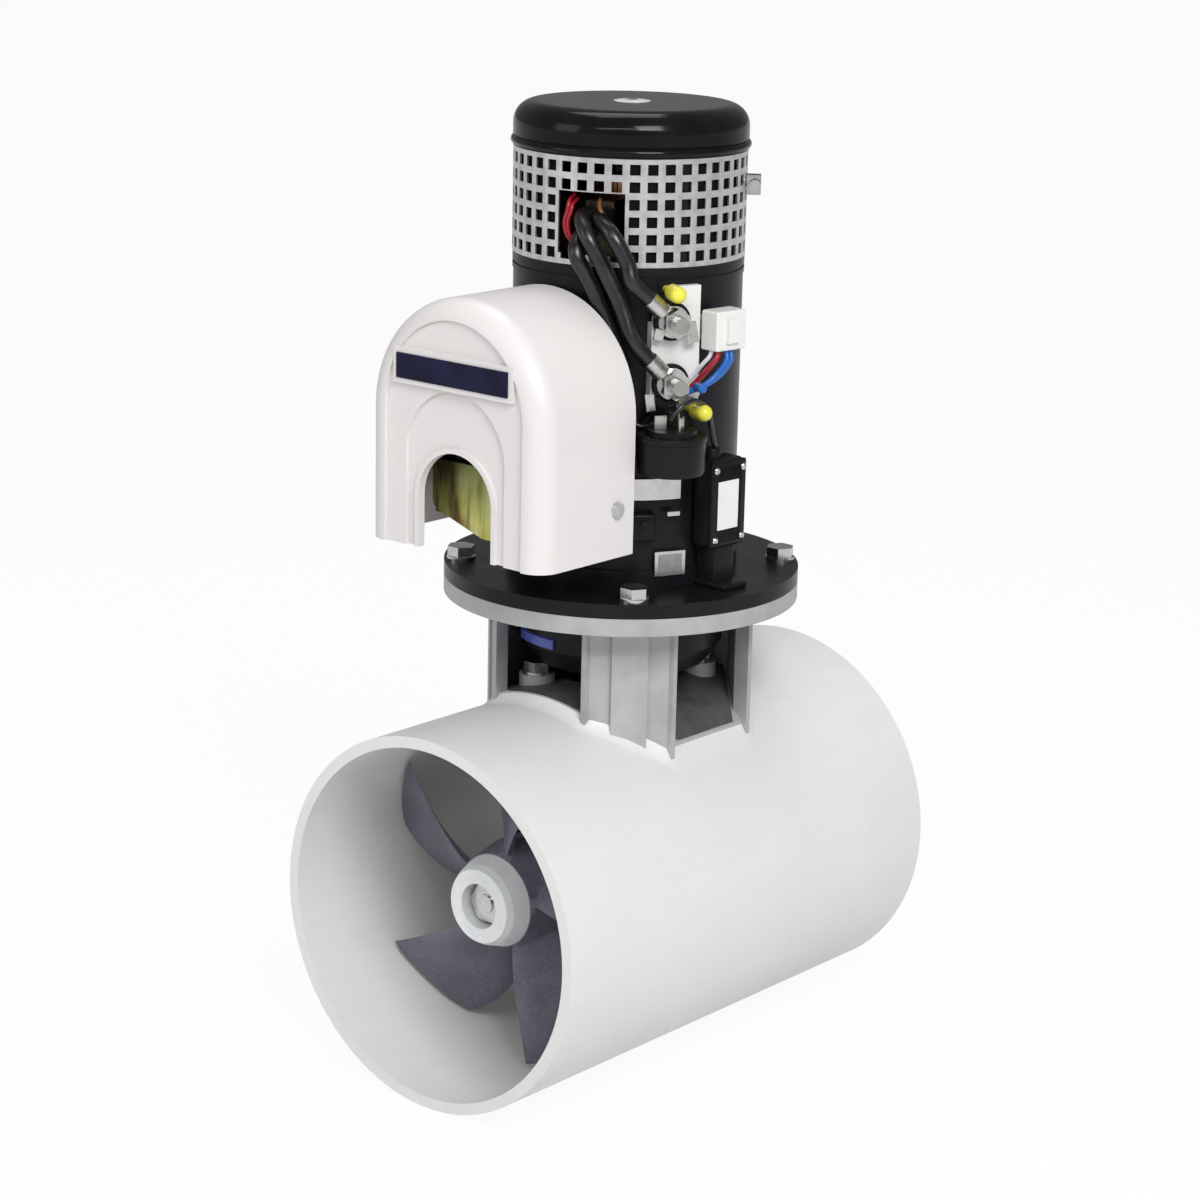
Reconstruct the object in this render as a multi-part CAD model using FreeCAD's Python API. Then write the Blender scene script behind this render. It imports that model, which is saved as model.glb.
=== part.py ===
import FreeCAD, Part
import math
import os

# Electric bow thruster: a short tunnel, a gear leg with one propeller inside it, a cast saddle
# on top and an upright DC motor with its hood, contactors and cables.  Millimetres.
# Row frame: +Z up the motor axis, +Y along the tunnel axis away from the propeller, origin
# where both axes cross.  Angles are degrees about +Z counted from +X.

Vec = FreeCAD.Vector
UP = Vec(0, 0, 1)
ALONG = Vec(0, 1, 0)
ORIGIN = Vec(0, 0, 0)

# ---- tunnel ---------------------------------------------------------------------------------
tunnel_bore_r = 92.5
tunnel_wall = 6.0
tunnel_length = 293.0
tunnel_r = tunnel_bore_r + tunnel_wall
tunnel_end = tunnel_length / 2

# ---- saddle bracket -------------------------------------------------------------------------
ring_r = 93.0
ring_thickness = 9.0
ring_bottom_z = 149.0
ring_opening_r = 50.0
saddle_half = 61.0            # flat faces of the saddle from the motor axis
saddle_corner = 66.0          # bevelled corners from the motor axis
saddle_wall = 6.0
saddle_lip = 5.0              # curved foot plate on the tunnel
saddle_foot_opening_r = 30.0
window_half = 29.5
window_corner_r = 5.0
column_half = 9.3             # raised column on each bevelled corner
column_proud = 3.0
corner_rib = 3.0              # ribs that edge each corner
corner_rib_proud = 3.0
leg_bolt_x = 22.0
leg_bolt_y = 40.0
leg_bolt_r = 4.0
leg_bolt_boss_r = 9.5
leg_bolt_boss_z = 107.0
bolt_head_flats = 13.0

# ---- gear leg -------------------------------------------------------------------------------
torpedo_r = 30.0
torpedo_front_y = -62.0
torpedo_back_y = 46.0
torpedo_nose = 24.0
gear_chamber_r = 24.2
strut_half_chord = 40.0
strut_half_width = 19.0
foot_half_x = 31.0
foot_half_y = 52.0
foot_thickness = 8.0
gasket_thickness = 1.5
neck_r = 24.0
neck_top_z = 120.0
bore_clearance = 0.5

# ---- shafts, bearings and bevel gears --------------------------------------------------------
drive_shaft_r = 7.0
coupling_bottom_z = 122.0
prop_shaft_r = 8.5
prop_journal_r = 6.0
prop_thread_r = 5.0
running_clearance = 0.04
seat_clearance = 0.02
small_bearing_r = 14.0
small_bearing_width = 7.0
front_bearing_r = 17.0
front_bearing_width = 12.0
motor_bearing_r = 16.0
motor_bearing_width = 8.0
lower_bearing_z = 34.0
upper_bearing_z = 98.0
front_bearing_y = -46.0
rear_bearing_y = 27.0
seal_width = 5.0
seal_gap = 0.5
pinion_teeth = 13
crown_teeth = 26
pitch_module = 1.62
gear_face = 8.0
tooth_addendum = 1.25
tooth_dedendum = 1.75
tooth_share = 0.46            # tooth thickness at the pitch line over the tooth pitch

# ---- propeller ------------------------------------------------------------------------------
blade_count = 5
blade_start = 83.0
propeller_tip_r = 89.3
propeller_hub_r = 29.0
hub_front_y = -94.5
hub_gap = 1.0
blade_mid_y = -80.0
anode_front_y = -107.0
anode_r = 24.5
anode_front_r = 19.5
anode_recess_r = 12.0

# ---- motor ----------------------------------------------------------------------------------
flange_r = 93.0
flange_thickness = 7.5
flange_bolt_pcd_r = 84.0
flange_bolt_count = 4
flange_bolt_r = 4.0
spigot_r = 46.0
spigot_depth = 26.0
blue_ring_r = 49.6
blue_ring_height = 5.0
blue_ring_drop = 12.0
yoke_r = 58.9
yoke_wall = 6.4
end_ring_proud = 0.5
end_ring_r = yoke_r + end_ring_proud
end_ring_height = 8.6
band_proud = 0.6
band_r = yoke_r + band_proud
band_sheet = 1.0
band_height = 53.4
band_columns = 42
band_rows = 6
band_hole = 5.3
band_row_pitch = 8.6
cap_proud = 1.1
cap_r = yoke_r + cap_proud
cap_height = 22.5
cap_edge_r = 11.0
cap_wall = 4.0
cap_plug_r = 3.2
cap_plug_proud = 0.8
brush_window_angle = -69.0
brush_window_span = 34.0
brush_window_height = 31.0
frame_post_half = 4.0
motor_shaft_r = 8.0
armature_bottom_z = 205.0
armature_length = 98.0
winding_end_space = 17.0
yoke_top_z = armature_bottom_z + armature_length + winding_end_space
armature_slots = 18
air_gap = 1.2
magnet_thickness = 8.6
magnet_span = 62.0
commutator_r = 21.0
commutator_rise = 14.0
commutator_bottom_z = yoke_top_z + commutator_rise
brush_window_rise = 29.5
brush_window_z = yoke_top_z + brush_window_rise
commutator_length = 34.0
commutator_bars = 24
brush_width = 12.0
brush_height = 18.0
brush_length = 17.0
holder_wall = 1.5
holder_end_r = 45.0

# ---- coupling -------------------------------------------------------------------------------
coupling_r = 19.0
coupling_hub_length = 10.0
spider_height = 7.0
coupling_jaws = 3

# ---- hood -----------------------------------------------------------------------------------
hood_side_gap = 0.4
hood_half = yoke_r + hood_side_gap
hood_back_gap = 2.7
hood_depth = 68.4
hood_back_y = -(yoke_r + hood_back_gap)
hood_front_y = hood_back_y - hood_depth
hood_bottom_z = 190.0
hood_spring_z = 258.0
hood_wall = 2.5
hood_edge_r = 12.0
hood_step = 2.0
outer_panel_half = 46.0
inner_panel_half = 33.0
slot_half = 24.5
outer_panel_spring_z = 261.0
inner_panel_spring_z = 238.5
slot_spring_z = 216.5
slot_lip = 2.6
badge_half = 37.0
badge_height = 12.6
badge_z = 281.0
badge_border = 2.6
badge_plate = 0.8
hood_screw_inset = 13.4
hood_screw_y = hood_back_y - hood_screw_inset

# ---- strap, contactors, terminals and boxes ----------------------------------------------------
strap_z = 214.5
strap_height = 10.0
strap_sheet = 1.5
strap_end_angle = -21.0
contactor_r = 20.0
contactor_x = 24.0
contactor_offset = 29.1        # from the face of the yoke
contactor_y = -(yoke_r + contactor_offset)
contactor_bottom_z = 206.0
contactor_height = 50.0
contactor_stud_r = 3.0
contactor_stud_offset = 9.0
stud_r = 4.0
insulator_angle = -27.0
insulator_width = 26.0
insulator_height = 60.0
insulator_z = 290.0
insulator_thickness = 4.0
terminal_upper_z = 303.0
terminal_lower_z = 272.0
terminal_angle = -30.0
relay_angle = -32.5
relay_r = 17.0
relay_gap = 1.5                # above the strap
relay_height = 28.0
relay_standoff = 3.0
box_width = 24.0
box_depth = 17.0
box_bottom_z = 172.0
box_top_z = 218.0
box_angle = 5.0
connector_angle = -7.0
connector_size = 20.0
connector_z = 298.0
power_cable_r = 4.0
signal_wire_r = 1.3

# ---- places that follow from the sizes ---------------------------------------------------------
ring_top_z = ring_bottom_z + ring_thickness
flange_top_z = ring_top_z + flange_thickness
yoke_bottom_z = flange_top_z
yoke_bore_r = yoke_r - yoke_wall
end_ring_top_z = yoke_top_z + end_ring_height
band_top_z = end_ring_top_z + band_height
cap_top_z = band_top_z + cap_height
foot_r = tunnel_bore_r - gasket_thickness
spigot_bottom_z = ring_top_z - spigot_depth
hood_strap_x = hood_half - hood_wall


def export(name, shape):
    """Write one named sub-part."""
    shape.exportStep("parts/" + name + ".step")


def upright(radius, z0, z1, x=0.0, y=0.0):
    """Solid cylinder standing along Z."""
    return Part.makeCylinder(radius, z1 - z0, Vec(x, y, z0), UP)


def lying(radius, y0, y1, x=0.0, z=0.0):
    """Solid cylinder lying along Y."""
    return Part.makeCylinder(radius, y1 - y0, Vec(x, y0, z), ALONG)


def upright_tube(outer, inner, z0, z1, x=0.0, y=0.0):
    """Hollow cylinder standing along Z."""
    return upright(outer, z0, z1, x, y).cut(upright(inner, z0 - 1, z1 + 1, x, y))


def lying_tube(outer, inner, y0, y1):
    """Hollow cylinder lying along Y."""
    return lying(outer, y0, y1).cut(lying(inner, y0 - 1, y1 + 1))


def block(x0, x1, y0, y1, z0, z1):
    """Box between two corners."""
    return Part.makeBox(x1 - x0, y1 - y0, z1 - z0, Vec(x0, y0, z0))


def turned(shape, degrees, axis=UP):
    """Copy of a shape turned about an axis through the origin."""
    copy = shape.copy()
    copy.rotate(ORIGIN, axis, degrees)
    return copy


def mirrored_x(shape):
    """Mirror image across the plane x = 0."""
    return shape.mirror(ORIGIN, Vec(1, 0, 0))


def polygon_face(points):
    """Planar face of straight edges."""
    return Part.Face(Part.makePolygon(points + [points[0]]))


def prism(outline, z0, z1):
    """Upright prism on a closed outline of (x, y) points."""
    face = polygon_face([Vec(x, y, z0) for x, y in outline])
    return face.extrude(Vec(0, 0, z1 - z0))


def spun_upright(profile):
    """Solid turned about Z from an outline of (radius, z) points."""
    return polygon_face([Vec(r, 0, z) for r, z in profile]).revolve(ORIGIN, UP, 360)


def spun_lying(profile):
    """Solid turned about Y from an outline of (radius, y) points."""
    return polygon_face([Vec(r, y, 0) for r, y in profile]).revolve(ORIGIN, ALONG, 360)


def joined(shapes):
    """One fused shape with merged faces."""
    return shapes[0].fuse(shapes[1:]).removeSplitter()


def sector(radius, start, span, z0, z1):
    """Upright wedge from the Z axis, between two angles."""
    wedge = Part.makeCylinder(radius, z1 - z0, Vec(0, 0, z0), UP, span)
    return turned(wedge, start)


def hexagon(across_flats, z0, z1, x=0.0, y=0.0):
    """Upright hexagonal prism."""
    radius = across_flats / math.sqrt(3)
    corners = [(x + radius * math.cos(math.radians(60 * k)), y + radius * math.sin(math.radians(60 * k)))
               for k in range(6)]
    return prism(corners, z0, z1)


# ---- tunnel and saddle -------------------------------------------------------------------------
def leg_bolt_places():
    return [(sx * leg_bolt_x, sy * leg_bolt_y) for sx in (-1, 1) for sy in (-1, 1)]


def tunnel_tube():
    tube = lying_tube(tunnel_r, tunnel_bore_r, -tunnel_end, tunnel_end)
    tube = tube.cut(upright(neck_r + bore_clearance, 60, tunnel_r + 5))
    for x, y in leg_bolt_places():
        tube = tube.cut(upright(leg_bolt_r + bore_clearance, 60, tunnel_r + 5, x, y))
    return tube


def bevelled_square(half, corner, z0, z1):
    """Square prism with its four corners cut at 45 degrees."""
    reach = corner * math.sqrt(2) - half
    outline = [(half, -reach), (half, reach), (reach, half), (-reach, half),
               (-half, reach), (-half, -reach), (-reach, -half), (reach, -half)]
    return prism(outline, z0, z1)


def saddle_window():
    """Opening through the two opposite walls along Y, down to the foot plate."""
    foot = lying(tunnel_r + saddle_lip, -ring_r, ring_r)
    hole = block(-window_half, window_half, -ring_r, ring_r, 60, ring_bottom_z)
    return hole.cut(foot)


def saddle_bracket():
    outer = bevelled_square(saddle_half, saddle_corner, 40, ring_bottom_z)
    inner = bevelled_square(saddle_half - saddle_wall, saddle_corner - saddle_wall, 39, ring_bottom_z + 1)
    foot_zone = lying(tunnel_r + saddle_lip, -ring_r, ring_r)
    body = outer.cut(inner.cut(foot_zone))
    body = body.cut(saddle_window())
    side_hole = block(-ring_r, ring_r, -window_half, window_half, 60, ring_bottom_z)
    body = body.cut(side_hole.cut(foot_zone))
    column_top = ring_bottom_z + 0.5
    reach = saddle_corner - saddle_wall / 2
    column = block(reach, saddle_corner + column_proud, -column_half, column_half, 40, column_top)
    for corner in (45, 135, 225, 315):
        body = body.fuse(turned(column, corner))
    rib_start = saddle_corner * math.sqrt(2) - saddle_half - corner_rib
    rib = block(rib_start, rib_start + corner_rib, -saddle_half - corner_rib_proud,
                -saddle_half + saddle_wall / 2, 40, column_top)
    for side in (0, 90, 180, 270):
        body = body.fuse([turned(rib, side), turned(mirrored_x(rib), side)])
    ring = upright_tube(ring_r, ring_opening_r, ring_bottom_z, ring_top_z)
    body = body.fuse(ring)
    for x, y in leg_bolt_places():
        body = body.fuse(upright(leg_bolt_boss_r, 80, leg_bolt_boss_z, x, y))
    body = body.cut(lying(tunnel_r, -ring_r, ring_r))
    body = body.cut(upright(saddle_foot_opening_r, 60, ring_bottom_z - 1))
    for x, y in leg_bolt_places():
        body = body.cut(upright(leg_bolt_r + bore_clearance, 70, leg_bolt_boss_z + 1, x, y))
    for angle in flange_bolt_angles():
        x, y = on_circle(flange_bolt_pcd_r, angle)
        body = body.cut(upright(flange_bolt_r + seat_clearance, ring_bottom_z - 1, ring_top_z + 1, x, y))
    return body.removeSplitter()


def on_circle(radius, angle):
    """Point on a circle about the origin."""
    return radius * math.cos(math.radians(angle)), radius * math.sin(math.radians(angle))


def flange_bolt_angles():
    return [45 + 360 * k / flange_bolt_count for k in range(flange_bolt_count)]


# ---- gear leg ------------------------------------------------------------------------------
rear_bearing_end_y = rear_bearing_y + small_bearing_width
upper_bearing_end_z = upper_bearing_z + small_bearing_width
front_bearing_end_y = front_bearing_y + front_bearing_width
pinion_pitch_r = pitch_module * pinion_teeth / 2
crown_pitch_r = pitch_module * crown_teeth / 2
cone_distance = math.hypot(pinion_pitch_r, crown_pitch_r)
gear_back = 4.5
pinion_back_z = crown_pitch_r + gear_back
pinion_spigot_r = 4.0


def strut_outline(half_chord, half_width, z):
    """Lens-shaped face, pointed along the tunnel."""
    bow, stern = Vec(0, -half_chord, z), Vec(0, half_chord, z)
    right = Part.Arc(bow, Vec(half_width, 0, z), stern).toShape()
    left = Part.Arc(stern, Vec(-half_width, 0, z), bow).toShape()
    return Part.Face(Part.Wire([right, left]))


def gear_leg_foot(outer, inner):
    """Curved pad that lies against the tunnel wall."""
    pad = block(-foot_half_x, foot_half_x, -foot_half_y, foot_half_y, 60, outer + 1)
    upright_edges = [e for e in pad.Edges if abs(e.Vertexes[0].X - e.Vertexes[-1].X) < 0.01
                     and abs(e.Vertexes[0].Y - e.Vertexes[-1].Y) < 0.01]
    pad = pad.makeFillet(foot_half_x * 0.6, upright_edges)
    return pad.common(lying_tube(outer, inner, -foot_half_y - 1, foot_half_y + 1))


def torpedo():
    nose_tip_y = torpedo_back_y + torpedo_nose
    start = Vec(torpedo_r, torpedo_back_y, 0)
    middle = Vec(torpedo_r * 0.8, torpedo_back_y + torpedo_nose * 0.62, 0)
    tip = Vec(torpedo_r * 0.2, nose_tip_y, 0)
    nose_arc = Part.Arc(start, middle, tip).toShape()
    rest = Part.makePolygon([tip, Vec(0, nose_tip_y, 0), Vec(0, torpedo_front_y, 0),
                             Vec(torpedo_r, torpedo_front_y, 0), start])
    face = Part.Face(Part.Wire([nose_arc] + rest.Edges))
    return face.revolve(ORIGIN, ALONG, 360)


def gear_leg_housing():
    strut = strut_outline(strut_half_chord, strut_half_width, 0).extrude(Vec(0, 0, foot_r - 3))
    neck = upright(neck_r, foot_r - foot_thickness, neck_top_z)
    body = joined([torpedo(), strut, gear_leg_foot(foot_r, foot_r - foot_thickness), neck])
    seat = seat_clearance
    chamber = lying(gear_chamber_r, torpedo_front_y - 1, rear_bearing_y)
    rear_seat = lying(small_bearing_r + seat, rear_bearing_y - 1, rear_bearing_end_y)
    pinion_room = upright(small_bearing_r - 1, 10, lower_bearing_z)
    lower_seat = upright(small_bearing_r + seat, lower_bearing_z, lower_bearing_z + small_bearing_width)
    shaft_room = upright(drive_shaft_r + 3, lower_bearing_z, upper_bearing_z)
    upper_seat = upright(small_bearing_r + seat, upper_bearing_z, neck_top_z + 1)
    body = body.cut([chamber, rear_seat, pinion_room, lower_seat, shaft_room, upper_seat])
    for x, y in leg_bolt_places():
        body = body.cut(upright(leg_bolt_r + seat, foot_r - foot_thickness - 12, foot_r + 2, x, y))
    return body


def leg_gasket():
    gasket = gear_leg_foot(tunnel_bore_r, foot_r)
    gasket = gasket.cut(upright(neck_r + bore_clearance, 60, tunnel_r))
    for x, y in leg_bolt_places():
        gasket = gasket.cut(upright(leg_bolt_r + bore_clearance, 60, tunnel_r, x, y))
    return gasket


def leg_bolts():
    """Hexagon bolts with washers, from the saddle bosses into the foot of the gear leg."""
    bolts = []
    head_height = 5.3
    washer = 1.6
    for x, y in leg_bolt_places():
        low = math.sqrt((foot_r - foot_thickness) ** 2 - (abs(x) + leg_bolt_r) ** 2) + 0.5
        shank = upright(leg_bolt_r, low, leg_bolt_boss_z + washer, x, y)
        plate = upright(leg_bolt_r * 2, leg_bolt_boss_z, leg_bolt_boss_z + washer, x, y)
        top = leg_bolt_boss_z + washer
        bolts.append(joined([shank, plate, hexagon(bolt_head_flats, top, top + head_height, x, y)]))
    return Part.makeCompound(bolts)


def leg_front_cover():
    outer = gear_chamber_r - running_clearance
    back_y = front_bearing_end_y
    seat = front_bearing_r + seat_clearance
    lip = prop_shaft_r + 2
    lip_y = torpedo_front_y + 4
    return spun_lying([(lip, torpedo_front_y), (outer, torpedo_front_y), (outer, back_y),
                       (seat, back_y), (seat, lip_y), (lip, lip_y)])


def bearing(bore, outer, start, width, spun):
    """Shielded ball bearing, its shields set back from the two rings."""
    ring = (outer - bore) * 0.22
    dip = width * 0.08
    end = start + width
    return spun([(bore, start), (bore + ring, start), (bore + ring, start + dip), (outer - ring, start + dip),
                 (outer - ring, start), (outer, start), (outer, end), (outer - ring, end),
                 (outer - ring, end - dip), (bore + ring, end - dip), (bore + ring, end), (bore, end)])


def lip_seal(bore, outer, start, width, spun):
    """Rubber shaft seal with one hollow side."""
    end = start + width
    middle = (bore + outer) / 2
    return spun([(bore, start), (outer, start), (outer, end), (middle + 1, end),
                 (middle + 1, start + 1.5), (middle - 1, start + 1.5), (bore + 0.8, end), (bore, end)])


def shaft_bearings_and_seals():
    drive_bore = drive_shaft_r + running_clearance
    prop_bore = prop_shaft_r + running_clearance
    export("drive_shaft_lower_bearing",
           bearing(drive_bore, small_bearing_r, lower_bearing_z, small_bearing_width, spun_upright))
    export("drive_shaft_upper_bearing",
           bearing(drive_bore, small_bearing_r, upper_bearing_z, small_bearing_width, spun_upright))
    export("drive_shaft_seal",
           lip_seal(drive_bore, small_bearing_r, upper_bearing_end_z + seal_gap, seal_width, spun_upright))
    export("propeller_rear_bearing",
           bearing(prop_journal_r + running_clearance, small_bearing_r, rear_bearing_y,
                   small_bearing_width, spun_lying))
    export("propeller_front_bearing",
           bearing(prop_bore, front_bearing_r, front_bearing_y, front_bearing_width, spun_lying))
    export("propeller_shaft_seal",
           lip_seal(prop_bore, front_bearing_r, front_bearing_y - seal_gap - seal_width, seal_width, spun_lying))


# ---- bevel gears -----------------------------------------------------------------------------
def bevel_flank(teeth, cone_angle, height):
    """Half the tooth angle at a height above the pitch cone, from the back-cone involute."""
    pressure = math.radians(20)
    virtual_r = pitch_module * teeth / 2 / math.cos(cone_angle)
    base_r = virtual_r * math.cos(pressure)
    radius = virtual_r + height
    alpha = math.acos(base_r / radius) if radius > base_r else 0.0
    thickness = math.pi * pitch_module * tooth_share
    involute = math.tan(pressure) - pressure - math.tan(alpha) + alpha
    half = thickness / 2 / virtual_r + involute
    polar = cone_angle + height / cone_distance
    return max(radius, base_r) * half / (cone_distance * math.sin(polar))


def toothed_wire(teeth, cone_angle, plane_z, phase):
    """Closed outline of all the teeth in one plane across the gear's axis."""
    heights = [-tooth_dedendum, -tooth_dedendum / 2, 0, tooth_addendum / 2, tooth_addendum]
    points = []
    for k in range(teeth):
        middle = phase + 2 * math.pi * k / teeth
        rising = [(-bevel_flank(teeth, cone_angle, h), h) for h in heights]
        falling = [(-offset, h) for offset, h in reversed(rising)]
        for offset, h in rising + falling:
            radius = plane_z * math.tan(cone_angle + h / cone_distance)
            angle = middle + offset
            points.append(Vec(radius * math.cos(angle), radius * math.sin(angle), plane_z))
    return Part.makePolygon(points + [points[0]])


def bevel_gear(teeth, mate_teeth, phase, bore, back, hub_r):
    """Straight bevel gear about Z, apex at the origin, teeth facing the apex."""
    angle = math.atan2(teeth, mate_teeth)
    outer_z = cone_distance * math.cos(angle)
    inner = (cone_distance - gear_face) / cone_distance
    teeth_solid = Part.makeLoft([toothed_wire(teeth, angle, outer_z * inner * 0.85, phase),
                                 toothed_wire(teeth, angle, outer_z * 1.35, phase)], True, True)

    def pitch_point(scale, height):
        radius = cone_distance * math.sin(angle) + height * math.cos(angle)
        axial = cone_distance * math.cos(angle) - height * math.sin(angle)
        return radius * scale, axial * scale

    depth = tooth_dedendum + 0.6
    inner_floor = pitch_point(inner, -depth)
    outer_floor = pitch_point(1.0, -depth)
    blank = spun_upright([(bore, inner_floor[1]), inner_floor, pitch_point(inner, tooth_addendum + 1),
                          pitch_point(1.0, tooth_addendum + 1), outer_floor, (bore, outer_floor[1])])
    crown = teeth_solid.common(blank)
    hub = upright_tube(hub_r, bore, outer_floor[1] - 1.2, back)
    return crown.fuse(hub).removeSplitter()


def drive_pinion():
    gear = bevel_gear(pinion_teeth, crown_teeth, math.pi / 2, pinion_spigot_r, pinion_back_z,
                      drive_shaft_r + 1.5)
    return gear


def crown_gear():
    half_pitch = math.pi / crown_teeth
    gear = bevel_gear(crown_teeth, pinion_teeth, -math.pi / 2 + half_pitch, prop_shaft_r,
                      rear_bearing_y - 1.0, prop_shaft_r + 4.0)
    return turned(gear, -90, Vec(1, 0, 0))


def drive_shaft():
    shaft = upright(drive_shaft_r, pinion_back_z, coupling_bottom_z + coupling_hub_length)
    spigot = upright(pinion_spigot_r, pinion_back_z - 9, pinion_back_z)
    return shaft.fuse(spigot).removeSplitter()


def propeller_shaft():
    hub_back_y = torpedo_front_y - hub_gap
    body = lying(prop_shaft_r, hub_front_y, rear_bearing_y)
    journal = lying(prop_journal_r, rear_bearing_y, rear_bearing_end_y)
    thread = lying(prop_thread_r, hub_front_y - 8, hub_front_y)
    shaft = joined([body, journal, thread])
    pin_y = (hub_back_y + hub_front_y) / 2
    return shaft.cut(Part.makeCylinder(drive_pin_r, 60, Vec(-30, pin_y, 0), Vec(1, 0, 0)))


drive_pin_r = 3.0
drive_pin_half = 18.0


def drive_pin():
    pin_y = (torpedo_front_y - hub_gap + hub_front_y) / 2
    return Part.makeCylinder(drive_pin_r, 2 * drive_pin_half, Vec(-drive_pin_half, pin_y, 0), Vec(1, 0, 0))


# ---- propeller --------------------------------------------------------------------------------
blade_root_r = 18.0
blade_end_r = 92.0
blade_pitch_length = 205.0
blade_root_chord = 22.0
blade_root_thickness = 7.0
blade_tip_thickness = 2.2
blade_sweep = 17.0
blade_stations = 9
section_points = 5            # points along each side of a blade section


def blade_station(share):
    """Radius, chord, thickness, pitch angle and sweep at a share of the blade's length."""
    radius = blade_root_r + share * (blade_end_r - blade_root_r)
    chord = blade_root_chord + 92.0 * share - 62.0 * share ** 2
    thickness = blade_root_thickness + (blade_tip_thickness - blade_root_thickness) * share
    pitch = math.degrees(math.atan2(blade_pitch_length, 2 * math.pi * radius))
    sweep = blade_sweep * share ** 1.5 - 0.3 * blade_sweep
    return radius, chord, thickness, pitch, sweep


def blade_section(radius, chord, thickness, pitch, sweep):
    """Closed lens-shaped section across the blade, square to its radius."""
    along_chord = Vec(-math.cos(math.radians(pitch)), math.sin(math.radians(pitch)), 0)
    across = Vec(math.sin(math.radians(pitch)), math.cos(math.radians(pitch)), 0)
    sides = []
    for first in (0, section_points):
        points = []
        for k in range(section_points + 1):
            turn = math.pi * (first + k) / section_points
            points.append(along_chord * (-chord / 2 * math.cos(turn)) + across * (thickness / 2 * math.sin(turn))
                          + Vec(0, blade_mid_y, radius))
        side = Part.BSplineCurve()
        side.interpolate(points)
        sides.append(side.toShape())
    return turned(Part.Wire(sides), sweep, ALONG)


def propeller():
    back_y = torpedo_front_y - hub_gap
    hub = spun_lying([(prop_shaft_r, hub_front_y), (anode_r + 0.6, hub_front_y), (propeller_hub_r, hub_front_y + 18),
                      (propeller_hub_r, back_y), (prop_shaft_r, back_y)])
    sections = [blade_section(*blade_station(k / (blade_stations - 1))) for k in range(blade_stations)]
    blade = Part.makeLoft(sections, True, False)
    blade = blade.common(lying(propeller_tip_r, -tunnel_end, 0))
    blades = [turned(blade, 90 - blade_start - 360 * k / blade_count, ALONG) for k in range(blade_count)]
    wheel = hub.fuse(blades)
    pin_y = (back_y + hub_front_y) / 2
    return wheel.cut(Part.makeCylinder(drive_pin_r, 2 * drive_pin_half, Vec(-drive_pin_half, pin_y, 0),
                                       Vec(1, 0, 0)))


def zinc_anode():
    taper_y = anode_front_y + 3.5
    return spun_lying([(anode_recess_r, anode_front_y), (anode_front_r, anode_front_y),
                       (anode_front_r + 2, taper_y), (anode_r, hub_front_y), (anode_recess_r, hub_front_y)])


def propeller_nut():
    height = 7.0
    nut = turned(hexagon(19.0, 0, height), 90, Vec(1, 0, 0))
    nut.translate(Vec(0, hub_front_y, 0))
    return nut.cut(lying(prop_thread_r, hub_front_y - height - 1, hub_front_y + 1))


# ---- coupling ---------------------------------------------------------------------------------
spider_bottom_z = coupling_bottom_z + coupling_hub_length
spider_top_z = spider_bottom_z + spider_height
coupling_top_z = spider_top_z + coupling_hub_length
jaw_span = 360 / coupling_jaws / 4


def coupling_hub(z0, z1, jaw_z0, jaw_z1, bore, first_angle):
    hub = upright_tube(coupling_r, bore, z0, z1)
    jaws = [sector(coupling_r, first_angle + 360 * k / coupling_jaws, jaw_span, jaw_z0, jaw_z1)
            for k in range(coupling_jaws)]
    teeth = [jaw.cut(upright(coupling_r * 0.5, jaw_z0 - 1, jaw_z1 + 1)) for jaw in jaws]
    return hub.fuse(teeth).removeSplitter()


def coupling_spider():
    ring = upright_tube(coupling_r - 0.8, coupling_r * 0.5, spider_bottom_z, spider_top_z)
    for k in range(2 * coupling_jaws):
        jaw = sector(coupling_r + 1, k * 180 / coupling_jaws, jaw_span, spider_bottom_z - 1, spider_top_z + 1)
        ring = ring.cut(jaw.cut(upright(coupling_r * 0.5, spider_bottom_z - 2, spider_top_z + 2)))
    core = upright_tube(coupling_r * 0.5, coupling_r * 0.25, spider_bottom_z, spider_top_z)
    return joined([core, ring])


# ---- motor --------------------------------------------------------------------------------------
motor_bearing_z = spigot_bottom_z + 18.0
coupling_room_r = coupling_r + 4.0
magnet_bore_r = yoke_bore_r - magnet_thickness
armature_r = magnet_bore_r - air_gap
upper_bearing_seat_z = band_top_z - 10.0
motor_shaft_top_z = upper_bearing_seat_z + motor_bearing_width


def motor_flange():
    plate = upright(flange_r, ring_top_z, flange_top_z)
    spigot = upright(spigot_r, spigot_bottom_z, ring_top_z)
    locator = upright(ring_opening_r - running_clearance, ring_top_z - 6, ring_top_z)
    body = joined([plate, spigot, locator])
    room = upright(coupling_room_r, spigot_bottom_z - 1, motor_bearing_z)
    seat = upright(motor_bearing_r + seat_clearance, motor_bearing_z - 1, motor_bearing_z + motor_bearing_width)
    neck = upright(motor_shaft_r + 2, motor_bearing_z, flange_top_z + 1)
    body = body.cut([room, seat, neck])
    for angle in flange_bolt_angles():
        x, y = on_circle(flange_bolt_pcd_r, angle)
        body = body.cut(upright(flange_bolt_r + bore_clearance, ring_top_z - 1, flange_top_z + 1, x, y))
    return body


def spigot_ring():
    top = ring_top_z - 6 - blue_ring_drop + blue_ring_height
    return upright_tube(blue_ring_r, spigot_r, top - blue_ring_height, top)


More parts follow.
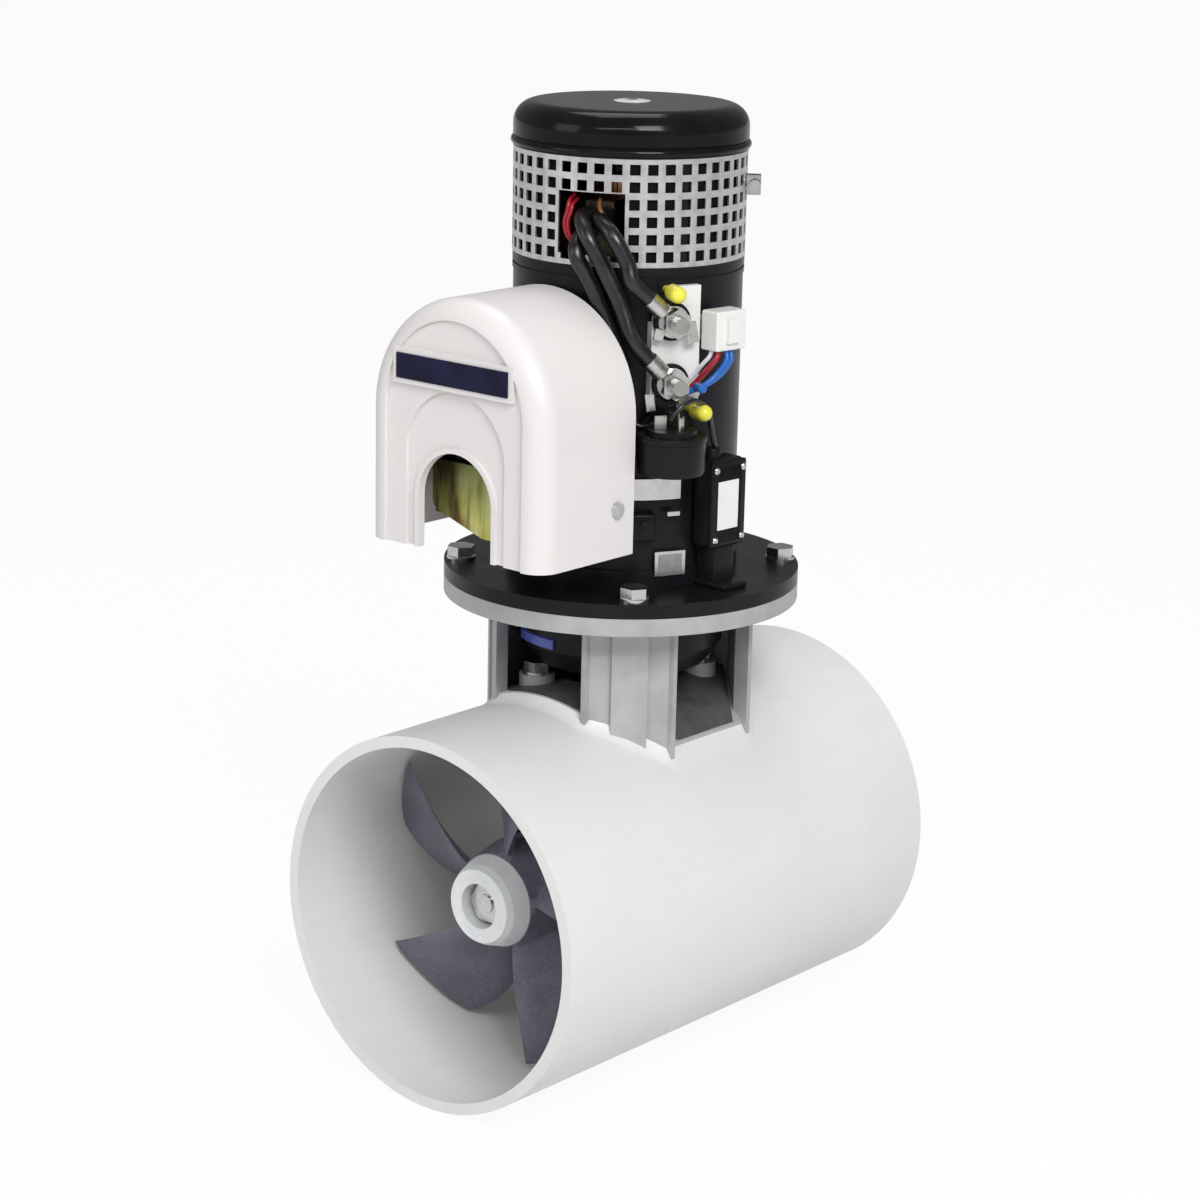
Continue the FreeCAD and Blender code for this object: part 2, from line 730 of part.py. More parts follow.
def flange_bolts():
    """Hexagon bolts with washers that clamp the motor to the saddle ring."""
    bolts = []
    washer, head = 1.8, 5.3
    for angle in flange_bolt_angles():
        x, y = on_circle(flange_bolt_pcd_r, angle)
        shank = upright(flange_bolt_r, ring_bottom_z + 0.5, flange_top_z + washer, x, y)
        plate = upright(flange_bolt_r * 1.9, flange_top_z, flange_top_z + washer, x, y)
        top = flange_top_z + washer
        bolts.append(joined([shank, plate, hexagon(bolt_head_flats, top, top + head, x, y)]))
    return Part.makeCompound(bolts)


def motor_yoke():
    tube = upright_tube(yoke_r, yoke_bore_r, yoke_bottom_z, yoke_top_z)
    foot = upright_tube(yoke_r + 1.6, yoke_r - 1, yoke_bottom_z, yoke_bottom_z + 9)
    return joined([tube, foot])


def field_magnets():
    magnets = []
    for k in range(4):
        ring = upright_tube(yoke_bore_r, magnet_bore_r, armature_bottom_z - 4, armature_bottom_z + armature_length + 4)
        start = brush_window_angle + 90 * k - magnet_span / 2
        magnets.append(ring.common(sector(yoke_r, start, magnet_span, yoke_bottom_z, yoke_top_z)))
    return Part.makeCompound(magnets)


def armature_core():
    outline = []
    slot_r = armature_r * 0.72
    for k in range(armature_slots):
        pitch = 360 / armature_slots
        for radius, share in ((slot_r, -0.5), (slot_r, -0.24), (armature_r, -0.38), (armature_r, 0.38),
                              (slot_r, 0.24), (slot_r, 0.5)):
            if share != 0.5:
                outline.append(on_circle(radius, (k + share) * pitch))
    core = prism(outline, armature_bottom_z, armature_bottom_z + armature_length)
    return core.cut(upright(motor_shaft_r, armature_bottom_z - 1, armature_bottom_z + armature_length + 1))


def armature_windings():
    """End turns above and below the core."""
    turns = []
    inner, outer = motor_shaft_r + 5, armature_r - 3
    for base, sign in ((armature_bottom_z, -1), (armature_bottom_z + armature_length, 1)):
        turns.append(spun_upright([(inner, base), (outer, base), (outer - 1, base + sign * 7),
                                   (outer - 7, base + sign * 11), (inner + 4, base + sign * 11),
                                   (inner, base + sign * 6)]))
    return Part.makeCompound(turns)


def commutator():
    top = commutator_bottom_z + commutator_length
    drum = upright_tube(commutator_r, motor_shaft_r, commutator_bottom_z, top)
    riser = upright_tube(commutator_r + 3.5, motor_shaft_r, commutator_bottom_z, commutator_bottom_z + 4)
    drum = joined([drum, riser])
    slots = []
    for k in range(commutator_bars):
        slot = block(commutator_r - 0.9, commutator_r + 5, -0.35, 0.35, commutator_bottom_z - 1, top + 1)
        slots.append(turned(slot, 360 * (k + 0.5) / commutator_bars))
    return drum.cut(slots)


def motor_shaft():
    return upright(motor_shaft_r, spider_top_z, motor_shaft_top_z)


def frame_post_angles():
    return [brush_window_angle + 45 + 90 * k for k in range(4)]


def brush_angles():
    return [brush_window_angle + 90 * k for k in range(4)]


def commutator_end_frame():
    """Ring on top of the yoke with four posts that carry the cap."""
    inner = commutator_r + 7
    ring = upright_tube(end_ring_r, inner, yoke_top_z, end_ring_top_z)
    groove = upright_tube(end_ring_r + 1, end_ring_r - 0.8, yoke_top_z + 2.6, yoke_top_z + 4.2)
    ring = ring.cut(groove)
    post_outer = band_r - band_sheet - 0.6
    post = block(post_outer - 8, post_outer, -frame_post_half, frame_post_half, end_ring_top_z - 1, band_top_z)
    posts = [turned(post.common(upright(post_outer, yoke_top_z, band_top_z)), a) for a in frame_post_angles()]
    return joined([ring] + posts)


def brush_holders():
    holders = []
    half_w = brush_width / 2 + holder_wall
    half_h = brush_height / 2 + holder_wall
    r0, r1 = commutator_r + 3.0, holder_end_r
    z = brush_window_z - 1
    tube = block(r0, r1, -half_w, half_w, z - half_h, z + half_h)
    hollow = block(r0 - 1, r1 - holder_wall, -brush_width / 2, brush_width / 2,
                   z - brush_height / 2, z + brush_height / 2)
    foot = block(r0 + 5, r1, -half_w, half_w, end_ring_top_z, z - half_h)
    holder = joined([tube, foot]).cut(hollow)
    for angle in brush_angles():
        holders.append(turned(holder, angle))
    return Part.makeCompound(holders)


def brushes():
    z = brush_window_z - 1
    slide = 0.15
    r0 = commutator_r + 0.3
    brush = block(r0, r0 + brush_length, -brush_width / 2 + slide, brush_width / 2 - slide,
                  z - brush_height / 2 + slide, z + brush_height / 2 - slide)
    return Part.makeCompound([turned(brush, angle) for angle in brush_angles()])


def brush_springs():
    """Pressure springs between each brush and the end of its holder, drawn as their outer tube."""
    z = brush_window_z - 1
    r0 = commutator_r + 0.3 + brush_length
    r1 = holder_end_r - holder_wall
    spring = Part.makeCylinder(4.0, r1 - r0, Vec(r0, 0, z), Vec(1, 0, 0))
    spring = spring.cut(Part.makeCylinder(3.0, r1 - r0 + 2, Vec(r0 - 1, 0, z), Vec(1, 0, 0)))
    return Part.makeCompound([turned(spring, angle) for angle in brush_angles()])


def band_facet():
    """Faces of one flat column of the band, its square holes through the sheet."""
    outer_half = band_r * math.tan(math.pi / band_columns)
    inner_r = band_r - band_sheet
    inner_half = inner_r * math.tan(math.pi / band_columns)
    half = band_hole / 2
    first_z = (end_ring_top_z + band_top_z) / 2 - band_row_pitch * (band_rows - 1) / 2

    def rectangle(radius, half_width, z0, z1):
        return [Vec(radius, -half_width, z0), Vec(radius, half_width, z0),
                Vec(radius, half_width, z1), Vec(radius, -half_width, z1)]

    def closed(points):
        return Part.makePolygon(points + [points[0]])

    rows = [first_z + row * band_row_pitch for row in range(band_rows)]
    faces = []
    for radius, half_width in ((band_r, outer_half), (inner_r, inner_half)):
        sheet = Part.Face(closed(rectangle(radius, half_width, end_ring_top_z, band_top_z)))
        holes = [Part.Face(closed(rectangle(radius, half, z - half, z + half))) for z in rows]
        faces += sheet.cut(holes).Faces
    for z in rows:
        near, far = rectangle(inner_r, half, z - half, z + half), rectangle(band_r, half, z - half, z + half)
        for k in range(4):
            nxt = (k + 1) % 4
            faces.append(polygon_face([near[k], near[nxt], far[nxt], far[k]]))
    for z in (end_ring_top_z, band_top_z):
        faces.append(polygon_face([Vec(inner_r, -inner_half, z), Vec(inner_r, inner_half, z),
                                   Vec(band_r, outer_half, z), Vec(band_r, -outer_half, z)]))
    return Part.makeCompound(faces)


def brush_band():
    """Sheet ring of flat facets, one for each column of square holes."""
    facet = band_facet()
    faces = []
    for k in range(band_columns):
        faces += turned(facet, brush_window_angle + 360 * (k + 0.5) / band_columns).Faces
    shell = Part.makeShell(faces)
    shell.sewShape()
    ring = Part.makeSolid(shell)
    if ring.Volume < 0:
        ring.reverse()
    window = sector(band_r + 3, brush_window_angle - brush_window_span / 2, brush_window_span,
                    brush_window_z - brush_window_height / 2, brush_window_z + brush_window_height / 2)
    return ring.cut(window)


def band_clamp():
    """Lug pair and tangential screw that draw the perforated band tight."""
    z = band_top_z - 18
    lug = block(band_r, band_r + 7, 2, 3.5, z - 5, z + 5)
    lug = lug.fuse(block(band_r, band_r + 7, -3.5, -2, z - 5, z + 5))
    screw = Part.makeCylinder(1.5, 15, Vec(band_r + 4, -8, z), ALONG)
    head = Part.makeCylinder(3.0, 3, Vec(band_r + 4, -8, z), ALONG)
    return turned(joined([lug, screw, head]), band_clamp_angle)


band_clamp_angle = 38.0


def motor_cap():
    """Domed end cap with a bearing hub under it."""
    rim_z = band_top_z
    start = Vec(cap_r, 0, cap_top_z - cap_edge_r)
    middle = Vec(cap_r - cap_edge_r * (1 - math.sqrt(0.5)), 0, cap_top_z - cap_edge_r * (1 - math.sqrt(0.5)))
    end = Vec(cap_r - cap_edge_r, 0, cap_top_z)
    edge = Part.Arc(start, middle, end).toShape()
    groove_z = rim_z + 4.0
    outline = [end, Vec(0, 0, cap_top_z), Vec(0, 0, rim_z), Vec(cap_r, 0, rim_z),
               Vec(cap_r, 0, groove_z), Vec(cap_r - 0.9, 0, groove_z + 0.4), Vec(cap_r - 0.9, 0, groove_z + 1.2),
               Vec(cap_r, 0, groove_z + 1.6), start]
    face = Part.Face(Part.Wire([edge] + Part.makePolygon(outline).Edges))
    body = face.revolve(ORIGIN, UP, 360)
    hollow_r = cap_r - cap_wall - 1.5
    hollow = upright(hollow_r, rim_z - 1, cap_top_z - cap_wall - 1)
    hub_r = motor_bearing_r + 4.0
    hub = upright(hub_r, upper_bearing_seat_z - 1, cap_top_z - cap_wall)
    body = body.cut(hollow.cut(hub)).fuse(hub)
    body = body.cut(upright(motor_bearing_r + seat_clearance, upper_bearing_seat_z - 2,
                            upper_bearing_seat_z + motor_bearing_width))
    body = body.cut(upright(motor_shaft_r + 2, upper_bearing_seat_z, upper_bearing_seat_z + motor_bearing_width + 3))
    return body.fuse(upright(cap_plug_r, cap_top_z - 1, cap_top_z + cap_plug_proud))


# ---- hood ----------------------------------------------------------------------------------------
def arch(half, spring_z, bottom_z, y0, y1):
    """Round-topped block along Y: straight sides up to the springing line, then a half circle."""
    left, right = Vec(-half, y0, spring_z), Vec(half, y0, spring_z)
    top = Part.Arc(right, Vec(0, y0, spring_z + half), left).toShape()
    rest = Part.makePolygon([left, Vec(-half, y0, bottom_z), Vec(half, y0, bottom_z), right])
    return Part.Face(Part.Wire([top] + rest.Edges)).extrude(Vec(0, y1 - y0, 0))


def front_rim_edges(shape, y):
    """Edges of the arch in one plane across Y, without the bottom one."""
    return [e for e in shape.Edges
            if all(abs(v.Y - y) < 0.01 for v in e.Vertexes) and e.BoundBox.ZLength > 1.0]


def hood():
    outer = arch(hood_half, hood_spring_z, hood_bottom_z, hood_front_y, hood_back_y)
    outer = outer.makeFillet(hood_edge_r, front_rim_edges(outer, hood_front_y))
    low = hood_bottom_z - 1
    front = hood_front_y
    inner = arch(hood_half - hood_wall, hood_spring_z, low, front + hood_wall, hood_back_y + 1)
    inner = inner.makeFillet(hood_edge_r - hood_wall, front_rim_edges(inner, front + hood_wall))
    step_1 = arch(outer_panel_half + hood_wall, outer_panel_spring_z, low, front + hood_wall,
                  front + hood_wall + hood_step)
    step_2 = arch(inner_panel_half + hood_wall, inner_panel_spring_z, low, front + hood_wall + hood_step,
                  front + hood_wall + 2 * hood_step)
    shell = outer.cut(inner.cut([step_1, step_2]))
    shell = shell.cut(arch(outer_panel_half, outer_panel_spring_z, low, front - 1, front + hood_step))
    shell = shell.cut(arch(inner_panel_half, inner_panel_spring_z, low, front, front + 2 * hood_step))
    lip = arch(slot_half + slot_lip, slot_spring_z, hood_bottom_z, front + hood_step, front + 2 * hood_step + 0.5)
    shell = shell.fuse(lip)
    shell = shell.fuse(badge_seat())
    slot = arch(slot_half, slot_spring_z, low, front - 1, front + 2 * hood_step + hood_wall + 2)
    shell = shell.cut(slot)
    for side in (-1, 1):
        hole = Part.makeCylinder(hood_screw_r + bore_clearance, 8, Vec(side * hood_half - 4, hood_screw_y, strap_z),
                                 Vec(1, 0, 0))
        shell = shell.cut(hole)
    return shell.removeSplitter()


hood_screw_r = 2.0
badge_face_y = hood_front_y - 0.6


def badge_seat():
    """Raised plain border that carries the badge plate."""
    half_x = badge_half + badge_border
    half_z = badge_height / 2 + badge_border
    return block(-half_x, half_x, badge_face_y, hood_front_y + hood_step + 0.5, badge_z - half_z, badge_z + half_z)


def hood_badge():
    return block(-badge_half, badge_half, badge_face_y - badge_plate, badge_face_y,
                 badge_z - badge_height / 2, badge_z + badge_height / 2)


def hood_screws():
    """Two pan-head screws through the hood into the arms of the strap."""
    screws = []
    for side in (-1, 1):
        outward = Vec(side, 0, 0)
        head = Part.makeCylinder(3.8, 2.2, Vec(side * hood_half, hood_screw_y, strap_z), outward)
        shank = Part.makeCylinder(hood_screw_r, hood_wall + strap_sheet + 1.0,
                                  Vec(side * (hood_half - hood_wall - strap_sheet - 1.0), hood_screw_y, strap_z), outward)
        screws.append(head.fuse(shank).removeSplitter())
    return Part.makeCompound(screws)


def hood_strap():
    """Steel strap bent round the front of the motor, with two arms that hold the hood."""
    z0, z1 = strap_z - strap_height / 2, strap_z + strap_height / 2
    half_turn = 90 + strap_end_angle
    ring = upright_tube(yoke_r + strap_sheet, yoke_r, z0, z1)
    arc = ring.common(sector(yoke_r + 5, -90 - half_turn, 2 * half_turn, z0 - 1, z1 + 1))
    root_x, root_y = on_circle(yoke_r + strap_sheet / 2, strap_end_angle)
    arm = block(hood_strap_x - strap_sheet, hood_strap_x, hood_screw_y - 9, root_y, z0, z1)
    bridge = block(root_x - 1.5, hood_strap_x, root_y - strap_sheet, root_y, z0, z1)
    bridge = bridge.cut(upright(yoke_r, z0 - 1, z1 + 1))
    arm = arm.fuse(bridge).cut(upright(yoke_r, z0 - 1, z1 + 1))
    hole = Part.makeCylinder(hood_screw_r + seat_clearance, 6, Vec(hood_strap_x - 4, hood_screw_y, strap_z), Vec(1, 0, 0))
    arm = arm.cut(hole)
    return joined([arc, arm, mirrored_x(arm)])


# ---- contactors under the hood -----------------------------------------------------------------
bracket_sheet = 2.0
bracket_half = 46.0
bracket_bottom_z = 198.0
bracket_top_z = 252.0
bracket_gap = 5.1
bracket_y = -(yoke_r + bracket_gap)


def contactor_bracket():
    """Yellow-passivated plate bolted to the motor, with a shelf for the contactors and a shield."""
    plate = block(-bracket_half, bracket_half, bracket_y - bracket_sheet, bracket_y, bracket_bottom_z, bracket_top_z)
    shelf = block(-bracket_half, bracket_half, shield_y, bracket_y,
                  contactor_bottom_z - bracket_sheet, contactor_bottom_z)
    corner = 14.0
    top = contactor_bottom_z + 26
    shield = [Vec(-bracket_half + corner, shield_y, bracket_bottom_z), Vec(bracket_half - corner, shield_y, bracket_bottom_z),
              Vec(bracket_half, shield_y, bracket_bottom_z + corner), Vec(bracket_half, shield_y, top),
              Vec(-bracket_half, shield_y, top), Vec(-bracket_half, shield_y, bracket_bottom_z + corner)]
    front = polygon_face(shield).extrude(Vec(0, bracket_sheet, 0))
    feet = [block(sx * 14 - 6, sx * 14 + 6, bracket_y, -yoke_r * 0.8, strap_top_z + 4, strap_top_z + 16)
            for sx in (-1, 1)]
    foot_cut = upright(yoke_r, 150, 330)
    return joined([plate, shelf, front] + [foot.cut(foot_cut) for foot in feet])


shield_reach = 48.0
shield_y = bracket_y - shield_reach
strap_top_z = strap_z + strap_height / 2


def contactors():
    """Two round contactor cans, side by side."""
    cans = []
    for x in (-contactor_x, contactor_x):
        top = contactor_bottom_z + contactor_height
        can = upright(contactor_r, contactor_bottom_z, top, x, contactor_y)
        rim = upright(contactor_r + 0.8, top - 12, top - 9, x, contactor_y)
        cans.append(joined([can, rim]))
    return Part.makeCompound(cans)


def contactor_studs():
    """Copper studs with nuts on top of the contactors."""
    studs = []
    top = contactor_bottom_z + contactor_height
    for x in (-contactor_x, contactor_x):
        for dx in (-contactor_stud_offset, contactor_stud_offset):
            stud = upright(contactor_stud_r, top, top + 15, x + dx, contactor_y)
            nut = hexagon(10.0, top + bus_bar_thickness, top + bus_bar_thickness + 4, x + dx, contactor_y)
            studs.append(joined([stud, nut]))
    return Part.makeCompound(studs)


bus_bar_thickness = 2.5


def bus_bar():
    """Copper bar that links the inner studs of the two contactors."""
    top = contactor_bottom_z + contactor_height
    half = contactor_x - contactor_stud_offset + 6
    bar = block(-half, half, contactor_y - 6, contactor_y + 6, top, top + bus_bar_thickness)
    for side in (-1, 1):
        x = side * (contactor_x - contactor_stud_offset)
        bar = bar.cut(upright(contactor_stud_r, top - 1, top + 5, x, contactor_y))
    return bar


# ---- terminals, relay and boxes on the side of the motor ------------------------------------------
def radial_rod(radius, r0, r1, angle, z):
    """Cylinder that points away from the motor axis."""
    rod = Part.makeCylinder(radius, r1 - r0, Vec(r0, 0, z), Vec(1, 0, 0))
    return turned(rod, angle)


def radial_nut(across_flats, r0, r1, angle, z):
    """Hexagonal nut on a radial stud."""
    nut = turned(hexagon(across_flats, 0, r1 - r0), 90, ALONG)
    nut.translate(Vec(r0, 0, z))
    return turned(nut, angle)


insulator_face_r = yoke_r + insulator_thickness
terminal_washer = 1.6
terminal_nut = 6.5
lug_thickness = 2.0
stud_length = 16.0


def terminal_insulators():
    half = insulator_width / 2
    z0, z1 = insulator_z - insulator_height / 2, insulator_z + insulator_height / 2
    wide = block(yoke_r * 0.95, insulator_face_r, -half, half, z0, z1 - 18)
    narrow = block(yoke_r * 0.95, insulator_face_r, 0, half, z1 - 19, z1)
    plate = turned(joined([wide, narrow]), insulator_angle)
    collar = [radial_rod(8.0, yoke_r * 0.97, insulator_face_r + 2.0, terminal_angle, z)
              for z in (terminal_upper_z, terminal_lower_z)]
    plate = joined([plate] + collar).cut(upright(yoke_r, 150, 330))
    for z in (terminal_upper_z, terminal_lower_z):
        plate = plate.cut(radial_rod(stud_r, yoke_r - 1, insulator_face_r + 5, terminal_angle, z))
    return plate


stud_seat_r = insulator_face_r + 2.0


def terminal_studs():
    studs = []
    for z in (terminal_upper_z, terminal_lower_z):
        rod = radial_rod(stud_r, yoke_r, stud_seat_r + stud_length, terminal_angle, z)
        studs.append(rod.cut(upright(yoke_r, 150, 330)))
    return Part.makeCompound(studs)


def terminal_nuts():
    nuts = []
    for z in (terminal_upper_z, terminal_lower_z):
        base = stud_seat_r + lug_thickness
        washer = radial_rod(8.0, base, base + terminal_washer, terminal_angle, z)
        nut = radial_nut(13.0, base + terminal_washer, base + terminal_washer + terminal_nut, terminal_angle, z)
        body = joined([washer, nut])
        nuts.append(body.cut(radial_rod(stud_r, base - 1, base + 12, terminal_angle, z)))
    return Part.makeCompound(nuts)


cap_small_r = 4.2


def terminal_caps():
    """Yellow end caps on the two small auxiliary terminals."""
    caps = []
    for angle, z in ((-31.0, terminal_upper_z + 15.0), (-19.0, terminal_lower_z - 14.0)):
        stem = radial_rod(2.0, yoke_r, yoke_r + 12, angle, z).cut(upright(yoke_r, 150, 330))
        cover = radial_rod(cap_small_r, yoke_r + 10, yoke_r + 18, angle, z)
        dome = Part.makeSphere(cap_small_r, Vec(yoke_r + 18, 0, z))
        caps.append(joined([stem, cover, turned(dome, angle)]))
    return Part.makeCompound(caps)


def relay():
    """Round black relay can on a saddle block against the motor."""
    bottom = strap_top_z + relay_gap
    top = bottom + relay_height
    centre = yoke_r + relay_standoff + relay_r
    x, y = on_circle(centre, relay_angle)
    can = upright(relay_r, bottom, top, x, y)
    lid = upright(relay_r - 2.5, top, top + 3, x, y)
    pad = turned(block(yoke_r * 0.9, centre - 4, -10, 10, bottom + 3, top - 3), relay_angle)
    pad = pad.cut(upright(yoke_r, 150, 330))
    return joined([can, lid, pad])


def control_box():
    """Small control box beside the relay, with ears on the motor flange."""
    x0 = yoke_r + 1.6
    body = block(x0, x0 + box_depth, -box_width / 2, box_width / 2, box_bottom_z, box_top_z)
    body = body.makeFillet(1.5, body.Edges)
    foot = block(x0 + 1, x0 + box_depth + 6, -box_width / 2 + 3, box_width / 2 - 3, flange_top_z, box_bottom_z + 2)
    back = block(yoke_r * 0.95, x0 + 3, -8, 8, box_bottom_z + 10, box_top_z - 10).cut(upright(yoke_r, 150, 330))
    return turned(joined([body, foot, back]), box_angle)


def connector():
    """White plug housing on a clip against the motor."""
    half = connector_size / 2
    r0 = yoke_r + 6.0
    body = block(r0, r0 + 12, -half, half, connector_z - half, connector_z + half)
    body = body.makeFillet(1.2, body.Edges)
    latch = block(r0 + 12, r0 + 14, -4, 4, connector_z - 6, connector_z + 6)
    clip = block(yoke_r * 0.95, r0 + 1, -5, 5, connector_z - 6, connector_z + 6).cut(upright(yoke_r, 150, 330))
    return turned(joined([body, latch, clip]), connector_angle)


# ---- cables -----------------------------------------------------------------------------------------
def around(angle, radius, z):
    """Route point from its angle, distance from the motor axis and height."""
    x, y = on_circle(radius, angle)
    return Vec(x, y, z)


def route_edges(points):
    """Straight runs joined by tangent arcs, each arc as large as its two runs allow."""
    edges = []
    last = points[0]
    for before, corner, after in zip(points, points[1:], points[2:]):
        incoming, outgoing = (corner - before), (after - corner)
        shorter = min(incoming.Length, outgoing.Length)
        turn = incoming.getAngle(outgoing)
        reach = 0.45 * shorter
        radius = reach / math.tan(turn / 2)
        incoming.normalize()
        outgoing.normalize()
        start, end = corner - incoming * reach, corner + outgoing * reach
        inward = outgoing - incoming
        inward.normalize()
        centre_distance = radius / math.cos(turn / 2)
        middle = corner + inward * (centre_distance - radius)
        edges.append(Part.LineSegment(last, start).toShape())
        edges.append(Part.Arc(start, middle, end).toShape())
        last = end
        print("  turn %.0f radius %.1f" % (math.degrees(turn), radius))
    edges.append(Part.LineSegment(last, points[-1]).toShape())
    return edges


def cable(points, radius):
    """Round cable along a route."""
    path = Part.Wire(route_edges(points))
    start_direction = points[1] - points[0]
    section = Part.Wire(Part.makeCircle(radius, points[0], start_direction))
    body = path.makePipeShell([section], True, False)
    expected = math.pi * radius ** 2 * path.Length
    print("  cable volume over section times length %.4f" % (body.Volume / expected))
    return body


lug_barrel_r = 4.6
lug_reach = 18.0
lug_barrel_start = 8.0
lug_barrel_rise = 4.2         # barrel axis above the seat of the eye
terminal_lug_lean = {"upper": 48.0, "lower": 45.0}


def lug_frame(angle, z, lean):
    """Seat centre, seat normal and cable direction of a lug on a radial terminal stud."""
    normal = Vec(*on_circle(1.0, angle), 0)
    sideways = Vec(*on_circle(1.0, angle - 90), 0)
    lean = math.radians(lean)
    along = sideways * math.sin(lean) + UP * math.cos(lean)
    return around(angle, stud_seat_r, z), normal, along


def contactor_lug_frame():
    """The same three vectors for the lug on the outer contactor stud."""
    seat = Vec(contactor_x + contactor_stud_offset, contactor_y, contactor_bottom_z + contactor_height)
    along = Vec(math.sin(math.radians(20)), math.cos(math.radians(20)), 0)
    return seat, UP, along


def lug(frame, hole_r):
    """Copper eye with a barrel for the cable."""
    seat, normal, along = frame
    palm = Part.makeCylinder(7.0, lug_thickness, seat, normal)
    across = normal.cross(along)
    corners = [seat + across * side + along * far for side, far in
               ((-4.5, 0), (4.5, 0), (4.5, lug_barrel_start + 1), (-4.5, lug_barrel_start + 1))]
    tongue = polygon_face(corners).extrude(normal * lug_thickness)
    start = seat + along * lug_barrel_start + normal * lug_barrel_rise
    barrel = Part.makeCylinder(lug_barrel_r, lug_reach - lug_barrel_start, start, along)
    below = Part.makeBox(40, 40, 10, Vec(-20, -20, -10))
    below.Placement = FreeCAD.Placement(seat, FreeCAD.Rotation(UP, normal)).multiply(below.Placement)
    body = joined([palm, tongue, barrel]).cut(below)
    return body.cut(Part.makeCylinder(hole_r, 20, seat - normal * 5, normal))


def lug_mouth(frame, distance):
    """Point on the barrel's axis, outwards from the stud."""
    seat, normal, along = frame
    return seat + normal * lug_barrel_rise + along * distance


def power_lugs():
    upper = lug_frame(terminal_angle, terminal_upper_z, terminal_lug_lean["upper"])
    lower = lug_frame(terminal_angle, terminal_lower_z, terminal_lug_lean["lower"])
    return Part.makeCompound([lug(upper, stud_r), lug(lower, stud_r),
                              lug(contactor_lug_frame(), contactor_stud_r)])


def holder_point(out, side, z):
    """Point in front of the brush holder in the window, by distance, side step and height."""
    return turned_point(Vec(out, side, z), brush_window_angle)


def turned_point(point, degrees):
    radians = math.radians(degrees)
    return Vec(point.x * math.cos(radians) - point.y * math.sin(radians),
               point.x * math.sin(radians) + point.y * math.cos(radians), point.z)


def upper_terminal_cable():
    frame = lug_frame(terminal_angle, terminal_upper_z, terminal_lug_lean["upper"])
    return cable([holder_point(holder_end_r, 4.3, 353), holder_point(61, 4.3, 353), around(-56.5, 71, 347),
                  around(-49.5, 71, 331), lug_mouth(frame, lug_reach + 13), lug_mouth(frame, lug_reach)], power_cable_r)


def lower_terminal_cable():
    frame = lug_frame(terminal_angle, terminal_lower_z, terminal_lug_lean["lower"])
    return cable([holder_point(holder_end_r, -4.3, 353), holder_point(61, -4.3, 353), around(-67, 71, 346),
                  around(-59, 69.5, 328), around(-52, 69.5, 311), lug_mouth(frame, lug_reach + 13),
                  lug_mouth(frame, lug_reach)], power_cable_r)


def contactor_cable():
    frame = contactor_lug_frame()
    return cable([holder_point(holder_end_r, -4.3, 344), holder_point(61, -4.3, 344), around(-72, 71, 336),
                  around(-66, 64.4, 321), around(-60.5, 63.4, 306), around(-55, 63.6, 291), around(-50, 66.5, 276),
                  lug_mouth(frame, lug_reach + 16), lug_mouth(frame, lug_reach)], power_cable_r)


def main():
    os.makedirs("parts", exist_ok=True)
    export("tunnel_tube", tunnel_tube())
    export("saddle_bracket", saddle_bracket())
    export("gear_leg_housing", gear_leg_housing())
    export("leg_gasket", leg_gasket())
    export("leg_bolts", leg_bolts())
    export("leg_front_cover", leg_front_cover())
    shaft_bearings_and_seals()
    export("drive_pinion", drive_pinion())
    export("crown_gear", crown_gear())
    export("drive_shaft", drive_shaft())
    export("propeller_shaft", propeller_shaft())
    export("drive_pin", drive_pin())
    export("propeller", propeller())
    export("zinc_anode", zinc_anode())
    export("propeller_nut", propeller_nut())
    export("coupling_lower_hub", coupling_hub(coupling_bottom_z, spider_bottom_z, spider_bottom_z - 1,
                                              spider_top_z - 0.3, drive_shaft_r, 0))
    export("coupling_upper_hub", coupling_hub(spider_top_z, coupling_top_z, spider_bottom_z + 0.3,
                                              spider_top_z + 1, motor_shaft_r, 60))
    export("coupling_spider", coupling_spider())
    export("motor_flange", motor_flange())
    export("spigot_ring", spigot_ring())
    export("flange_bolts", flange_bolts())
    export("motor_yoke", motor_yoke())
    export("field_magnets", field_magnets())
    export("armature_core", armature_core())
    export("armature_windings", armature_windings())
    export("commutator", commutator())
    export("motor_shaft", motor_shaft())
    export("motor_lower_bearing", bearing(motor_shaft_r + running_clearance, motor_bearing_r, motor_bearing_z,
                                          motor_bearing_width, spun_upright))
    export("motor_upper_bearing", bearing(motor_shaft_r + running_clearance, motor_bearing_r,
                                          upper_bearing_seat_z, motor_bearing_width, spun_upright))
    export("commutator_end_frame", commutator_end_frame())
    export("brush_holders", brush_holders())
    export("brushes", brushes())
    export("brush_springs", brush_springs())
    export("brush_band", brush_band())
    export("band_clamp", band_clamp())
    export("motor_cap", motor_cap())
    export("hood", hood())
    export("hood_badge", hood_badge())
    export("hood_screws", hood_screws())
    export("hood_strap", hood_strap())
    export("contactor_bracket", contactor_bracket())
    export("contactors", contactors())
    export("contactor_studs", contactor_studs())
    export("bus_bar", bus_bar())
    export("terminal_insulators", terminal_insulators())
    export("terminal_studs", terminal_studs())
    export("terminal_nuts", terminal_nuts())
    export("terminal_caps", terminal_caps())
    export("power_lugs", power_lugs())
    export("relay", relay())
    export("control_box", control_box())
    export("connector", connector())
    export("upper_terminal_cable", upper_terminal_cable())
    export("lower_terminal_cable", lower_terminal_cable())
    export("contactor_cable", contactor_cable())


main()
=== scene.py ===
import math

import bmesh
import bpy
from mathutils import Matrix, Vector

